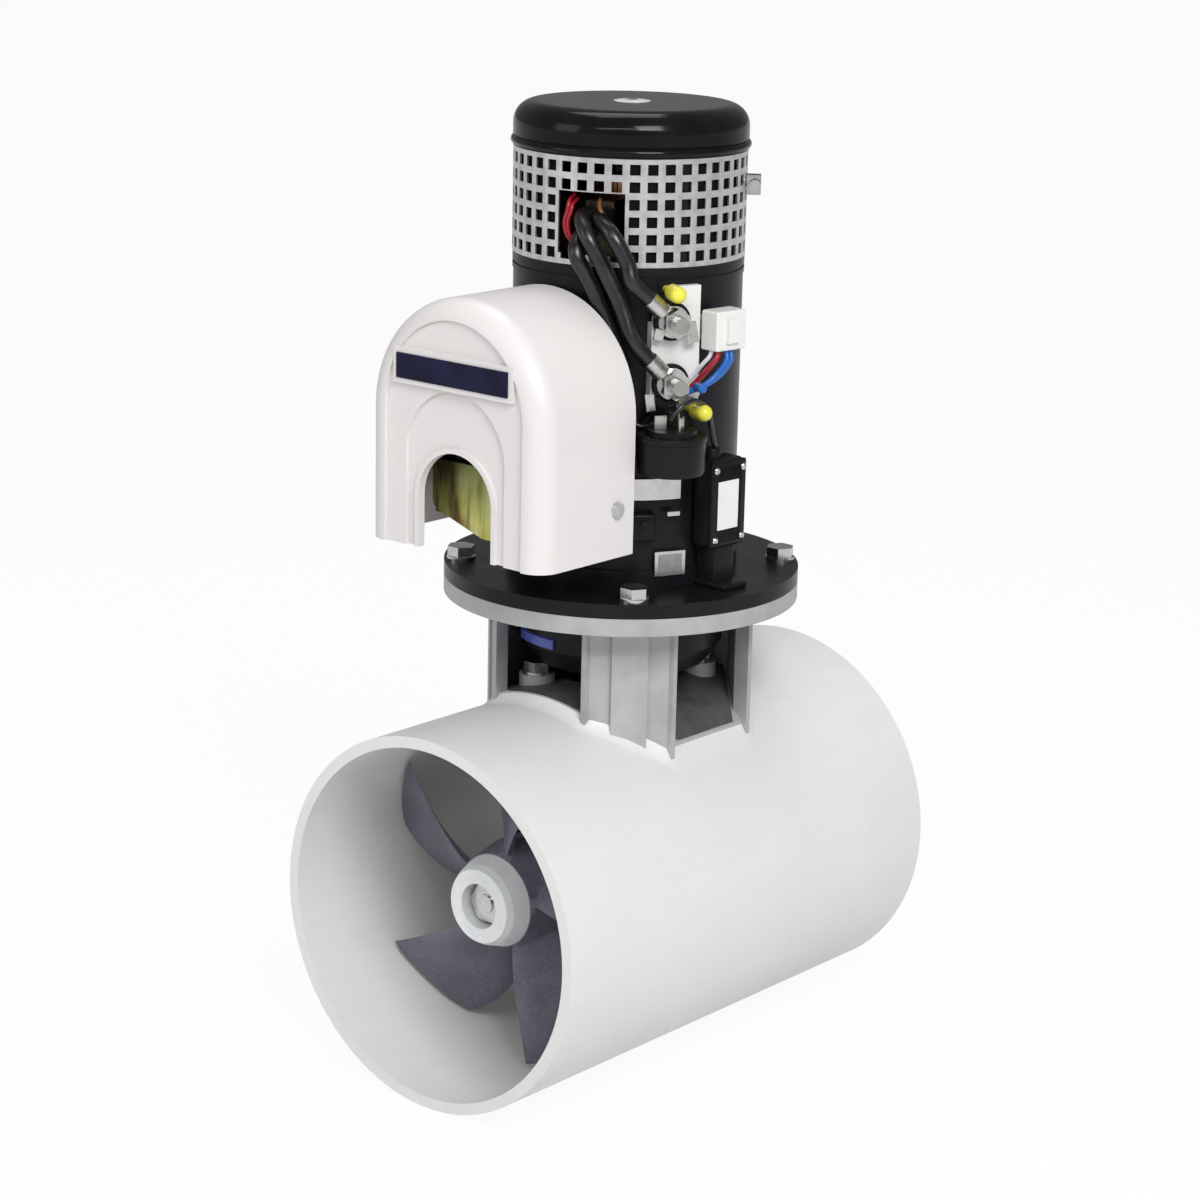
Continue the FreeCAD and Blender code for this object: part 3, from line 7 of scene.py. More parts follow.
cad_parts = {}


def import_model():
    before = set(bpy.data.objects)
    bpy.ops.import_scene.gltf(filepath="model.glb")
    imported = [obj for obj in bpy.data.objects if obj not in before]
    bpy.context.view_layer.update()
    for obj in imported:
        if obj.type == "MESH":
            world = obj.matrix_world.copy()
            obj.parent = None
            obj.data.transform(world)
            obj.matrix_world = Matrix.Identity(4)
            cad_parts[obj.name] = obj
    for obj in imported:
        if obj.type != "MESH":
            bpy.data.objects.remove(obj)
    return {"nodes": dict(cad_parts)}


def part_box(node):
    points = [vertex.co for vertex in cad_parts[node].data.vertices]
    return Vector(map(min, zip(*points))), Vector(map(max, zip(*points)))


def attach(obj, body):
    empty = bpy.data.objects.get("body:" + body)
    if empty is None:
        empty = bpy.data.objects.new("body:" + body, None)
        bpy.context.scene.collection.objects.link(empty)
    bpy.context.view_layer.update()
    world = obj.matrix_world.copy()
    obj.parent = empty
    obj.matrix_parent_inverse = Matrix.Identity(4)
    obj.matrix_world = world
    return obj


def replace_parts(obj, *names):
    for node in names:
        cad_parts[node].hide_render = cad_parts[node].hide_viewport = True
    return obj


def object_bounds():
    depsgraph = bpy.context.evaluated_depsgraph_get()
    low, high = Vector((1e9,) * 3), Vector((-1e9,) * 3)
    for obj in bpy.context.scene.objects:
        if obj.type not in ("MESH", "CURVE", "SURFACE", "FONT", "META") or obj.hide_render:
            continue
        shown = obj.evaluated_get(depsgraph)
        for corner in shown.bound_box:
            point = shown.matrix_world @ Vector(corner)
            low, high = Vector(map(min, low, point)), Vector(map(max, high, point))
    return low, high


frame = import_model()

cad_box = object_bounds()
nodes = frame["nodes"]
MM = 0.001


# ---- shaders ------------------------------------------------------------------------------
class Field:
    """A socket, with arithmetic that adds the Math nodes it needs."""

    def __init__(self, shader, socket):
        self.shader, self.socket = shader, socket

    def maths(self, operation, *values):
        return self.shader.add("ShaderNodeMath", {"operation": operation}, dict(enumerate(values)))

    def __add__(self, other):
        return self.maths("ADD", self, other)

    def __radd__(self, other):
        return self.maths("ADD", other, self)

    def __sub__(self, other):
        return self.maths("SUBTRACT", self, other)

    def __rsub__(self, other):
        return self.maths("SUBTRACT", other, self)

    def __mul__(self, other):
        return self.maths("MULTIPLY", self, other)

    def __rmul__(self, other):
        return self.maths("MULTIPLY", other, self)

    def __truediv__(self, other):
        return self.maths("DIVIDE", self, other)

    def remainder(self):
        return self.maths("FRACT", self)

    def size(self):
        return self.maths("ABSOLUTE", self)

    def ramp(self, low, high, start=0.0, end=1.0):
        """Goes from start to end as the field goes from low to high."""
        return self.shader.add("ShaderNodeMapRange", {"clamp": True},
                               {0: self, 1: low, 2: high, 3: start, 4: end})


class NodeTree:
    """The emptied node tree of a material or a world."""

    def __init__(self, owner):
        owner.use_nodes = True
        self.tree = owner.node_tree
        self.tree.nodes.clear()

    def add(self, kind, settings=None, inputs=None, output=0):
        node = self.tree.nodes.new(kind)
        for key, value in (settings or {}).items():
            setattr(node, key, value)
        for key, value in (inputs or {}).items():
            if isinstance(value, Field):
                self.tree.links.new(value.socket, node.inputs[key])
            elif value is not None:
                node.inputs[key].default_value = value
        return Field(self, node.outputs[output]) if len(node.outputs) else None

    def rays(self):
        """1 on camera rays, on mirror rays and on rays through glass."""
        outputs = self.add("ShaderNodeLightPath").socket.node.outputs
        kinds = "Is Camera Ray", "Is Glossy Ray", "Is Transmission Ray"
        return [Field(self, outputs[kind]) for kind in kinds]


class Shader(NodeTree):
    """One material and the nodes in it."""

    def __init__(self, name):
        self.material = bpy.data.materials.new(name)
        super().__init__(self.material)
        self.place = self.add("ShaderNodeTexCoord", output="Object")

    def moved(self, scale=(1, 1, 1), turn=(0, 0, 0), shift=(0, 0, 0)):
        return self.add("ShaderNodeMapping", None,
                        {"Vector": self.place, "Scale": scale, "Rotation": turn, "Location": shift})

    def axes(self):
        """The x, y and z of a place."""
        first = self.add("ShaderNodeSeparateXYZ", None, {0: self.place})
        return [Field(self, socket) for socket in first.socket.node.outputs]

    def noise(self, scale, detail=3.0, rough=0.55, vector=None):
        return self.add("ShaderNodeTexNoise", None,
                        {"Vector": vector or self.place, "Scale": scale, "Detail": detail,
                         "Roughness": rough})

    def cells(self, scale, vector=None):
        return self.add("ShaderNodeTexVoronoi", None, {"Vector": vector or self.place, "Scale": scale})

    def mix(self, amount, first, second):
        """Two colours mixed by an amount."""
        return self.add("ShaderNodeMix", {"data_type": "RGBA"},
                        {0: amount, 6: rgba(first), 7: rgba(second)}, output=2)

    def bump(self, height, distance, strength=1.0):
        return self.add("ShaderNodeBump", None,
                        {"Height": height, "Distance": distance, "Strength": strength})

    def angle(self, x, y):
        """Turns round an axis, from -0.5 to 0.5."""
        return x.maths("ARCTAN2", y, x) / (2 * math.pi)

    def finish(self, colour, roughness, metallic, normal, fixed=None):
        surface = self.add("ShaderNodeBsdfPrincipled", None,
                           {"Base Color": rgba(colour), "Roughness": roughness, "Metallic": metallic,
                            "Normal": normal, **(fixed or {})})
        self.add("ShaderNodeOutputMaterial", None, {"Surface": surface})
        return self.material


def rgba(colour):
    """A colour with its alpha; a field stays as it is."""
    return (*colour, 1.0) if isinstance(colour, tuple) and len(colour) == 3 else colour


def shaded(colour, factor):
    """A colour made lighter or darker, at most white."""
    return tuple(min(part * factor, 1.0) for part in colour)


def sheen(name, colour, roughness, metallic=0.0, mottle=0.08, mottle_scale=40.0, grain=0.00003,
          grain_scale=1500.0, dirt=0.25, fixed=None):
    """Plain finish with faint patches of colour, uneven gloss, fine grain and a little grime."""
    s = Shader(name)
    patches = s.noise(mottle_scale, 5.0, 0.6)
    fine = s.noise(grain_scale, 2.0, 0.6)
    smudges = s.noise(mottle_scale * 2.7, 4.0, 0.7, s.moved(shift=(0.3, 0.1, 0.7)))
    dark = tuple(part * (1 - mottle * 2.2) for part in colour)
    light = tuple(min(part * (1 + mottle * 0.8) + 0.002, 1.0) for part in colour)
    tone = s.mix(patches.ramp(0.3, 0.7), dark, light)
    tone = s.mix(smudges.ramp(0.58, 0.78, 0.0, dirt), tone, shaded(colour, 0.55))
    gloss = patches.ramp(0.3, 0.7, roughness * 0.85, min(roughness * 1.15, 1.0))
    gloss = gloss + fine.ramp(0.3, 0.7, -0.04, 0.04)
    relief = s.bump(fine, grain)
    return s.finish(tone, gloss, metallic, relief, fixed)


# ---- finishes -----------------------------------------------------------------------------
def gelcoat():
    """Pale glass-fibre laminate: rolled gelcoat, faint fibre bundles and rubbed patches."""
    s = Shader("tunnel gelcoat")
    cloud = s.noise(9.0, 5.0, 0.6)
    roll = s.noise(60.0, 3.0, 0.55, s.moved(scale=(1.0, 0.25, 1.0)))
    fine = s.noise(900.0, 3.0, 0.6)
    strands = s.noise(240.0, 2.0, 0.4, s.moved(scale=(1.0, 0.12, 1.0), turn=(0.2, 0.3, 0.5)))
    tone = s.mix(cloud.ramp(0.3, 0.7), (0.715, 0.725, 0.71), (0.765, 0.77, 0.755))
    tone = s.mix(strands.ramp(0.55, 0.75, 0.0, 0.22), tone, (0.66, 0.68, 0.655))
    tone = s.mix(s.noise(30.0, 6.0, 0.7).ramp(0.62, 0.75, 0.0, 0.2), tone, (0.60, 0.61, 0.585))
    height = roll * 0.7 + strands * 0.3 + fine * 0.08
    return s.finish(tone, roll.ramp(0.3, 0.7, 0.42, 0.58), 0.0, s.bump(height, 0.00025, 0.6))


def cast_metal(name, colour, roughness, metallic, pitted=0.0001, grain_scale=1100.0):
    """Sand-cast and blasted metal: grains, small pits and flow marks."""
    s = Shader(name)
    flow = s.noise(45.0, 5.0, 0.65)
    grains = s.cells(grain_scale)
    pits = s.cells(420.0, s.moved(shift=(0.2, 0.4, 0.1)))
    tone = s.mix(flow.ramp(0.3, 0.7), shaded(colour, 0.82), shaded(colour, 1.08))
    tone = s.mix(pits.ramp(0.0, 0.16, 0.35, 0.0), tone, shaded(colour, 0.35))
    height = grains * 0.5 + pits.ramp(0.0, 0.2) * 0.6 + s.noise(300.0, 3.0) * 0.6
    return s.finish(tone, flow.ramp(0.3, 0.7, roughness * 0.85, roughness * 1.1), metallic,
                    s.bump(height, pitted, 0.8))


DULL = {"Specular IOR Level": 0.16}      # paint and plastic that mirror little


def enamel(name, colour, roughness, peel=0.00006):
    """Sprayed enamel with orange peel, dust and fine rubs."""
    s = Shader(name)
    skin = s.noise(420.0, 2.0, 0.5)
    cloud = s.noise(35.0, 5.0, 0.65)
    rubs = s.noise(160.0, 5.0, 0.75, s.moved(scale=(1.0, 1.0, 0.15), turn=(0.4, 0.2, 0.1)))
    tone = s.mix(cloud.ramp(0.3, 0.75), colour, tuple(c * 1.5 + 0.004 for c in colour))
    tone = s.mix(rubs.ramp(0.66, 0.8, 0.0, 0.25), tone, tuple(c + 0.02 for c in colour))
    gloss = cloud.ramp(0.3, 0.7, roughness * 0.8, roughness * 1.2) + rubs.ramp(0.6, 0.8, 0.0, 0.15)
    return s.finish(tone, gloss, 0.0, s.bump(skin, peel, 0.5), fixed=DULL)


def turned_metal(name, colour, roughness, axis="Z", metallic=1.0, pitch=2600.0, depth=0.00002):
    """Lathe-turned metal: fine rings across its axis."""
    s = Shader(name)
    stretch = {"X": (pitch, 3.0, 3.0), "Y": (3.0, pitch, 3.0), "Z": (3.0, 3.0, pitch)}[axis]
    rings = s.noise(1.0, 3.0, 0.6, s.moved(scale=stretch))
    cloud = s.noise(90.0, 4.0, 0.6)
    tone = s.mix(cloud.ramp(0.3, 0.7), shaded(colour, 0.8), shaded(colour, 1.1))
    tone = s.mix(rings.ramp(0.4, 0.7, 0.0, 0.3), tone, shaded(colour, 0.6))
    return s.finish(tone, cloud.ramp(0.3, 0.7, roughness * 0.8, roughness * 1.2), metallic,
                    s.bump(rings, depth, 0.5))


def laminations():
    """Stack of varnished steel sheets."""
    s = Shader("armature laminations")
    height = s.axes()[2]
    sheets = (height * 1400.0).remainder()
    cloud = s.noise(70.0, 4.0)
    tone = s.mix(cloud.ramp(0.3, 0.7), (0.16, 0.16, 0.17), (0.28, 0.27, 0.27))
    tone = s.mix(sheets.ramp(0.6, 0.9, 0.0, 0.7), tone, (0.05, 0.045, 0.04))
    return s.finish(tone, 0.4, 0.8, s.bump(sheets.ramp(0.5, 0.9, 1.0, 0.0), 0.00008))


def windings():
    """Enamelled copper wire laid side by side, under varnish."""
    s = Shader("armature copper")
    x, y, z = s.axes()
    turns = (s.angle(x, y) * 150.0 + z * 260.0).remainder()
    wire = (turns - 0.5).size()
    cloud = s.noise(120.0, 4.0)
    tone = s.mix(cloud.ramp(0.3, 0.7), (0.32, 0.10, 0.035), (0.62, 0.24, 0.08))
    tone = s.mix(wire.ramp(0.3, 0.5, 0.0, 0.8), tone, (0.06, 0.02, 0.01))
    return s.finish(tone, 0.32, 0.75, s.bump(wire.ramp(0.0, 0.5, 1.0, 0.0), 0.0004))


def commutator_bars():
    """Copper bars with dark mica between them and a brush track."""
    s = Shader("commutator bars")
    x, y, _ = s.axes()
    bars = ((s.angle(x, y) * 32.0).remainder() - 0.5).size()
    rings = s.noise(1.0, 2.0, 0.5, s.moved(scale=(3.0, 3.0, 3000.0)))
    tone = s.mix(s.noise(60.0).ramp(0.3, 0.7), (0.50, 0.20, 0.09), (0.72, 0.36, 0.2))
    tone = s.mix(rings.ramp(0.45, 0.7, 0.0, 0.5), tone, (0.14, 0.08, 0.05))
    tone = s.mix(bars.ramp(0.45, 0.48), tone, (0.02, 0.018, 0.015))
    return s.finish(tone, 0.3, 0.9, s.bump(bars.ramp(0.44, 0.48, 1.0, 0.0), 0.0003))


def chromate():
    """Zinc plate with yellow chromate: iridescent patches from green to gold."""
    s = Shader("yellow chromate")
    patch = s.noise(55.0, 4.0, 0.6)
    hue = s.noise(28.0, 3.0, 0.5, s.moved(shift=(0.5, 0.2, 0.9)))
    tone = s.mix(patch.ramp(0.3, 0.7), (0.42, 0.44, 0.10), (0.66, 0.62, 0.22))
    runs = s.noise(75.0, 3.0, 0.6, s.moved(scale=(1.0, 1.0, 0.16), shift=(0.1, 0.0, 0.4)))
    tone = s.mix(hue.ramp(0.45, 0.7, 0.0, 0.6), tone, (0.22, 0.36, 0.14))
    tone = s.mix(runs.ramp(0.46, 0.56, 0.0, 0.9), tone, (0.13, 0.065, 0.035))
    tone = s.mix(runs.ramp(0.34, 0.44, 0.7, 0.0), tone, (0.72, 0.66, 0.40))
    # Darker olive towards the top of the bracket: painted shade.
    height = s.axes()[2]
    tone = s.mix(height.ramp(0.203, 0.232, 0.0, 0.7), tone, (0.07, 0.085, 0.03))
    grain = s.noise(1800.0, 2.0)
    return s.finish(tone, patch.ramp(0.3, 0.7, 0.25, 0.42), 0.85, s.bump(grain, 0.00002))


def rubber_cable():
    """Satin cable sheath with extruded lines, scuffs and dust."""
    s = Shader("cable sheath")
    cloud = s.noise(70.0, 5.0, 0.7)
    skin = s.noise(1400.0, 3.0, 0.6)
    rings = s.noise(260.0, 2.0, 0.5)
    tone = s.mix(cloud.ramp(0.35, 0.7), (0.004, 0.004, 0.005), (0.012, 0.012, 0.014))
    tone = s.mix(s.noise(300.0, 5.0, 0.8).ramp(0.62, 0.8, 0.0, 0.3), tone, (0.06, 0.06, 0.06))
    return s.finish(tone, cloud.ramp(0.3, 0.7, 0.22, 0.36), 0.0, s.bump(skin * 0.4 + rings * 0.6, 0.00008),
                    fixed={"Specular IOR Level": 0.6})


def magnet_ferrite():
    return cast_metal("field magnet ferrite", (0.05, 0.05, 0.055), 0.6, 0.1, 0.00006, 1600.0)


def moulding(name, colour, shade, roughness=0.36, texture=0.00005, texture_scale=700.0, fixed=None):
    """Semi-gloss moulded plastic: spark-eroded grain, flow shading and handling marks."""
    s = Shader(name)
    flow = s.noise(7.0, 4.0, 0.55)
    marks = s.noise(55.0, 6.0, 0.75, s.moved(scale=(1.0, 0.4, 1.0)))
    grain = s.cells(texture_scale)
    tone = s.mix(flow.ramp(0.35, 0.65), colour, shade)
    tone = s.mix(marks.ramp(0.62, 0.8, 0.0, 0.14), tone, shaded(shade, 0.7))
    gloss = flow.ramp(0.3, 0.7, roughness * 0.9, roughness * 1.15) + marks.ramp(0.6, 0.8, 0.0, 0.1)
    return s.finish(tone, gloss, 0.0, s.bump(grain, texture, 0.5), fixed)


def propeller_finish():
    """Violet-grey glass-filled composite: fine fibre flecks and scuffed faces."""
    s = Shader("propeller composite")
    cloud = s.noise(35.0, 5.0, 0.65)
    flecks = s.noise(520.0, 4.0, 0.8)
    tone = s.mix(cloud.ramp(0.3, 0.7), (0.085, 0.085, 0.115), (0.16, 0.16, 0.21))
    tone = s.mix(flecks.ramp(0.52, 0.75, 0.0, 0.45), tone, (0.28, 0.28, 0.33))
    tone = s.mix(flecks.ramp(0.3, 0.45, 0.4, 0.0), tone, (0.05, 0.05, 0.07))
    return s.finish(tone, cloud.ramp(0.3, 0.7, 0.42, 0.6), 0.0, s.bump(flecks, 0.00012, 0.7))


def zinc_finish():
    """Cast zinc, dull and faintly stained."""
    s = Shader("cast zinc")
    cloud = s.noise(80.0, 5.0, 0.65)
    grains = s.cells(900.0)
    tone = s.mix(cloud.ramp(0.3, 0.7), (0.72, 0.74, 0.76), (0.86, 0.87, 0.88))
    tone = s.mix(grains.ramp(0.0, 0.3, 0.25, 0.0), tone, (0.5, 0.51, 0.53))
    return s.finish(tone, cloud.ramp(0.3, 0.7, 0.42, 0.62), 0.2, s.bump(grains, 0.00008, 0.6))


def perforated_sheet():
    """Bright zinc-plated sheet with rolling lines along its length."""
    s = Shader("perforated sheet")
    lines = s.noise(1.0, 3.0, 0.6, s.moved(scale=(8.0, 8.0, 1900.0)))
    spangle = s.cells(160.0)
    tone = s.mix(spangle.ramp(0.0, 0.7), (0.50, 0.50, 0.52), (0.70, 0.70, 0.71))
    tone = s.mix(lines.ramp(0.4, 0.7, 0.0, 0.35), tone, (0.46, 0.46, 0.47))
    return s.finish(tone, lines.ramp(0.3, 0.7, 0.26, 0.40), 0.9, s.bump(lines, 0.00002, 0.4))


def threaded(name, colour, degrees, pitch=1250.0):
    """Bright stud whose thread runs round a line away from the motor axis."""
    s = Shader(name)
    x, y, _ = s.axes()
    along = x * math.cos(math.radians(degrees)) + y * math.sin(math.radians(degrees))
    crest = ((along * pitch).remainder() - 0.5).size()
    cloud = s.noise(150.0, 4.0)
    tone = s.mix(cloud.ramp(0.3, 0.7), shaded(colour, 0.8), colour)
    tone = s.mix(crest.ramp(0.3, 0.5, 0.0, 0.6), tone, shaded(colour, 0.3))
    return s.finish(tone, 0.3, 1.0, s.bump(crest.ramp(0.0, 0.5, 1.0, 0.0), 0.0006))


STEEL = (0.60, 0.60, 0.60)
BRASS = (0.72, 0.50, 0.20)
BLACK = (0.006, 0.006, 0.008)
black_enamel = enamel("satin black enamel", BLACK, 0.30)
black_gloss = enamel("gloss black enamel", (0.004, 0.004, 0.005), 0.14, 0.00003)
leg_coating = enamel("black leg coating", BLACK, 0.38, 0.0001)
stainless = sheen("stainless steel", (0.62, 0.62, 0.61), 0.24, 1.0, 0.1, 120.0, 0.00002, 2400.0, 0.2)
ground_steel = turned_metal("ground steel", STEEL, 0.2)
ground_steel_along = turned_metal("ground propeller shaft", STEEL, 0.2, "Y")
bearing_steel = turned_metal("bearing steel", (0.66, 0.66, 0.67), 0.16)
gear_steel = cast_metal("case-hardened gear steel", (0.30, 0.29, 0.28), 0.32, 0.9, 0.00002)
brass = sheen("brass", BRASS, 0.25, 1.0, 0.12, 100.0, 0.00002, 2000.0, 0.3)
plated_brass = sheen("tinned copper", (0.62, 0.61, 0.58), 0.3, 1.0, 0.12, 150.0, 0.00003, 1800.0, 0.25)
copper = sheen("copper bar", (0.70, 0.34, 0.2), 0.28, 1.0, 0.14, 90.0, 0.00002, 1900.0, 0.3)
black_moulding = moulding("black moulding", (0.006, 0.006, 0.007), (0.012, 0.012, 0.013), 0.32, fixed=DULL)
hood_moulding = moulding("hood moulding", (0.715, 0.69, 0.685), (0.74, 0.715, 0.705), 0.36)
white_moulding = moulding("white moulding", (0.72, 0.72, 0.70), (0.80, 0.80, 0.78), 0.4)
yellow_moulding = moulding("yellow cap", (0.74, 0.68, 0.05), (0.80, 0.76, 0.09), 0.3)
blue_moulding = moulding("blue seal ring", (0.03, 0.06, 0.38), (0.05, 0.09, 0.46), 0.35)
navy_plate = sheen("badge navy", (0.006, 0.006, 0.035), 0.2, 0.0, 0.2, 60.0, 0.00001, 1200.0, 0.1, DULL)
# Brush-holder brass darkened all over to paint the shade inside the brush window, with some grime on top.
brass_in_painted_shade = sheen("brass in painted shade", (0.10, 0.08, 0.05), 0.42, 0.8, 0.3, 120.0, 0.00003, 1500.0, 0.4)
rubber = sheen("black rubber", (0.008, 0.008, 0.008), 0.6, 0.0, 0.2, 60.0, 0.00005, 900.0, 0.3, DULL)
stud_thread = threaded("stud thread", (0.55, 0.54, 0.52), -30.0)
carbon = sheen("carbon brush", (0.03, 0.03, 0.032), 0.45, 0.2, 0.2, 150.0, 0.00005, 1600.0, 0.2)
sheath = rubber_cable()
# Near-white, barely metallic colour for the cap screw: a painted highlight.
painted_highlight_white = sheen("polished cap screw", (0.84, 0.84, 0.83), 0.25, 0.15, 0.05, 120.0, 0.00001, 1500.0, 0.1)
paper_label = sheen("label paper", (0.80, 0.80, 0.79), 0.5, 0.0, 0.03, 60.0, 0.00002, 900.0, 0.12)
label_metal = sheen("rating plate metal", (0.36, 0.36, 0.37), 0.34, 0.6, 0.12, 200.0, 0.00003, 900.0, 0.3)
# Dark grey for the saddle floor pad: partly the leg flange's paint, partly painted shade.
pad_paint_and_painted_shade = sheen("grey pad paint and painted shade", (0.10, 0.10, 0.105), 0.5, 0.0, 0.2, 60.0, 0.00005, 900.0, 0.3, DULL)
blue_lip = moulding("blue seal lip", (0.07, 0.10, 0.42), (0.10, 0.14, 0.50), 0.35)
blue_wire_skin = sheen("blue wire", (0.015, 0.13, 0.50), 0.34, 0.0, 0.1, 90.0, 0.00002, 900.0, 0.1)
red_wire_skin = sheen("red wire", (0.38, 0.012, 0.025), 0.34, 0.0, 0.1, 90.0, 0.00002, 900.0, 0.1)
white_wire_skin = sheen("white wire", (0.70, 0.72, 0.76), 0.34, 0.0, 0.05, 90.0, 0.00002, 900.0, 0.1)
brown_wire_skin = sheen("brown wire", (0.22, 0.10, 0.03), 0.4, 0.0, 0.1, 90.0, 0.00002, 900.0, 0.1)

FINISHES = {
    gelcoat(): "tunnel_tube",
    cast_metal("cast aluminium", (0.43, 0.435, 0.44), 0.5, 0.2): "saddle_bracket",
    leg_coating: "gear_leg_housing leg_front_cover",
    rubber: "leg_gasket drive_shaft_seal propeller_shaft_seal coupling_spider",
    stainless: "leg_bolts flange_bolts hood_screws hood_strap drive_pin propeller_nut band_clamp "
               "terminal_nuts",
    bearing_steel: "drive_shaft_lower_bearing drive_shaft_upper_bearing motor_lower_bearing "
                   "motor_upper_bearing",
    turned_metal("bearing steel along", (0.66, 0.66, 0.67), 0.16, "Y"):
        "propeller_rear_bearing propeller_front_bearing",
    ground_steel: "motor_shaft drive_shaft",
    ground_steel_along: "propeller_shaft",
    gear_steel: "drive_pinion crown_gear",
    black_enamel: "motor_flange motor_yoke commutator_end_frame",
    black_gloss: "motor_cap",
    blue_moulding: "spigot_ring",
    perforated_sheet(): "brush_band",
    magnet_ferrite(): "field_magnets",
    laminations(): "armature_core",
    windings(): "armature_windings",
    commutator_bars(): "commutator",
    copper: "bus_bar",
    brass_in_painted_shade: "brush_holders",
    stud_thread: "terminal_studs",
    brass: "contactor_studs",
    carbon: "brushes",
    turned_metal("spring steel", (0.5, 0.5, 0.5), 0.25): "brush_springs",
    plated_brass: "power_lugs",
    cast_metal("coupling iron", (0.16, 0.16, 0.165), 0.42, 0.8, 0.00005):
        "coupling_upper_hub coupling_lower_hub",
    hood_moulding: "hood",
    navy_plate: "hood_badge",
    chromate(): "contactor_bracket",
    black_moulding: "contactors relay control_box",
    white_moulding: "terminal_insulators connector",
    yellow_moulding: "terminal_caps",
    sheath: "upper_terminal_cable lower_terminal_cable contactor_cable",
    propeller_finish(): "propeller",
    zinc_finish(): "zinc_anode",
}


def paint(obj, material):
    obj.data.materials.clear()
    obj.data.materials.append(material)
    return obj


for finish_material, names in FINISHES.items():
    for name in names.split():
        paint(nodes[name], finish_material)


# ---- making pieces ------------------------------------------------------------------------
SHARP = math.radians(32)
BODY = "thruster"


def linked(name, data):
    """A new object of the scene that holds the data."""
    obj = bpy.data.objects.new(name, data)
    bpy.context.scene.collection.objects.link(obj)
    return obj


def mounted(obj, material, body=BODY):
    """The object painted and set to ride on a body."""
    paint(obj, material)
    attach(obj, body)
    return obj


def settle(name, bm, material, body=BODY, sharp=SHARP):
    """Turns a bmesh in millimetres into a finished piece that rides on a body."""
    bmesh.ops.scale(bm, vec=(MM, MM, MM), verts=bm.verts)
    mesh = bpy.data.meshes.new(name)
    bm.to_mesh(mesh)
    bm.free()
    mesh.shade_smooth()
    mesh.set_sharp_from_angle(angle=sharp)
    return mounted(linked(name, mesh), material, body)


def spun(profile, segments=64):
    """Solid of revolution about +Z from (radius, height) points, listed once round the section."""
    bm = bmesh.new()
    ring = [bm.verts.new((r, 0, z)) for r, z in profile]
    edges = [bm.edges.new((a, b)) for a, b in zip(ring, ring[1:])]
    if profile[0][0] > 0 and profile[-1][0] > 0:
        edges.append(bm.edges.new((ring[-1], ring[0])))
    bmesh.ops.spin(bm, geom=ring + edges, axis=(0, 0, 1), cent=(0, 0, 0), angle=2 * math.pi,
                   steps=segments, use_merge=True, use_duplicate=False)
    bmesh.ops.remove_doubles(bm, verts=bm.verts, dist=0.001)
    bmesh.ops.recalc_face_normals(bm, faces=bm.faces)
    return bm


def slab(width, depth, height, edge=0.0, segments=3):
    """Box centred on the origin, with its edges rounded."""
    bm = bmesh.new()
    bmesh.ops.create_cube(bm, size=1.0)
    bmesh.ops.scale(bm, vec=(width, depth, height), verts=bm.verts)
    if edge:
        bmesh.ops.bevel(bm, geom=bm.edges[:], offset=edge, offset_type="OFFSET", segments=segments,
                        profile=0.5, affect="EDGES", clamp_overlap=True, material=-1)
    return bm


def prism(outline, along):
    """Solid between an outline and the same outline moved along."""
    bm = bmesh.new()
    face = bm.faces.new([bm.verts.new(point) for point in outline])
    made = bmesh.ops.extrude_face_region(bm, geom=[face])["geom"]
    bmesh.ops.translate(bm, vec=along, verts=[g for g in made if isinstance(g, bmesh.types.BMVert)])
    bmesh.ops.recalc_face_normals(bm, faces=bm.faces)
    return bm


def placed(bm, turn=None, shift=(0, 0, 0)):
    """The bmesh turned by a matrix and moved."""
    if turn:
        bmesh.ops.rotate(bm, cent=(0, 0, 0), matrix=turn.to_3x3(), verts=bm.verts)
    bmesh.ops.translate(bm, vec=shift, verts=bm.verts)
    return bm


def added(bm, other):
    """One bmesh with another put into it."""
    mesh = bpy.data.meshes.new("part")
    other.to_mesh(mesh)
    other.free()
    bm.from_mesh(mesh)
    bpy.data.meshes.remove(mesh)
    return bm


def about(degrees, axis="Z"):
    return Matrix.Rotation(math.radians(degrees), 4, axis)


def round_motor(degrees, radius, height, side=0.0):
    """Point by its angle about the motor axis, distance from it and height, with a side step."""
    return about(degrees) @ Vector((radius, side, height))


def outwards(degrees):
    """Turns +Z of a piece to point away from the motor axis at an angle."""
    return about(degrees) @ about(90, "Y")


def at_motor(bm, degrees, radius, height, side=0.0):
    """The bmesh moved out from the motor axis and then turned about it."""
    return placed(placed(bm, None, (radius, side, height)), about(degrees))


def route(*stops):
    """Points of a wire, each an angle about the motor, a radius, a height and perhaps a side step."""
    return [round_motor(*stop) for stop in stops]


def wire(name, points, radius, material):
    """Smooth round wire through control points in millimetres."""
    curve = bpy.data.curves.new(name, "CURVE")
    curve.dimensions = "3D"
    spline = curve.splines.new("NURBS")
    spline.points.add(len(points) - 1)
    for point, place in zip(spline.points, points):
        point.co = (*(Vector(place) * MM), 1.0)
    spline.order_u = 3
    spline.use_endpoint_u = True
    curve.resolution_u = 8
    curve.bevel_depth = radius * MM
    curve.bevel_resolution = 3
    curve.use_fill_caps = True
    mounted(linked(name, curve), material)


# ---- propeller ------------------------------------------------------------------------------
PROPELLER_TURN = -9.5


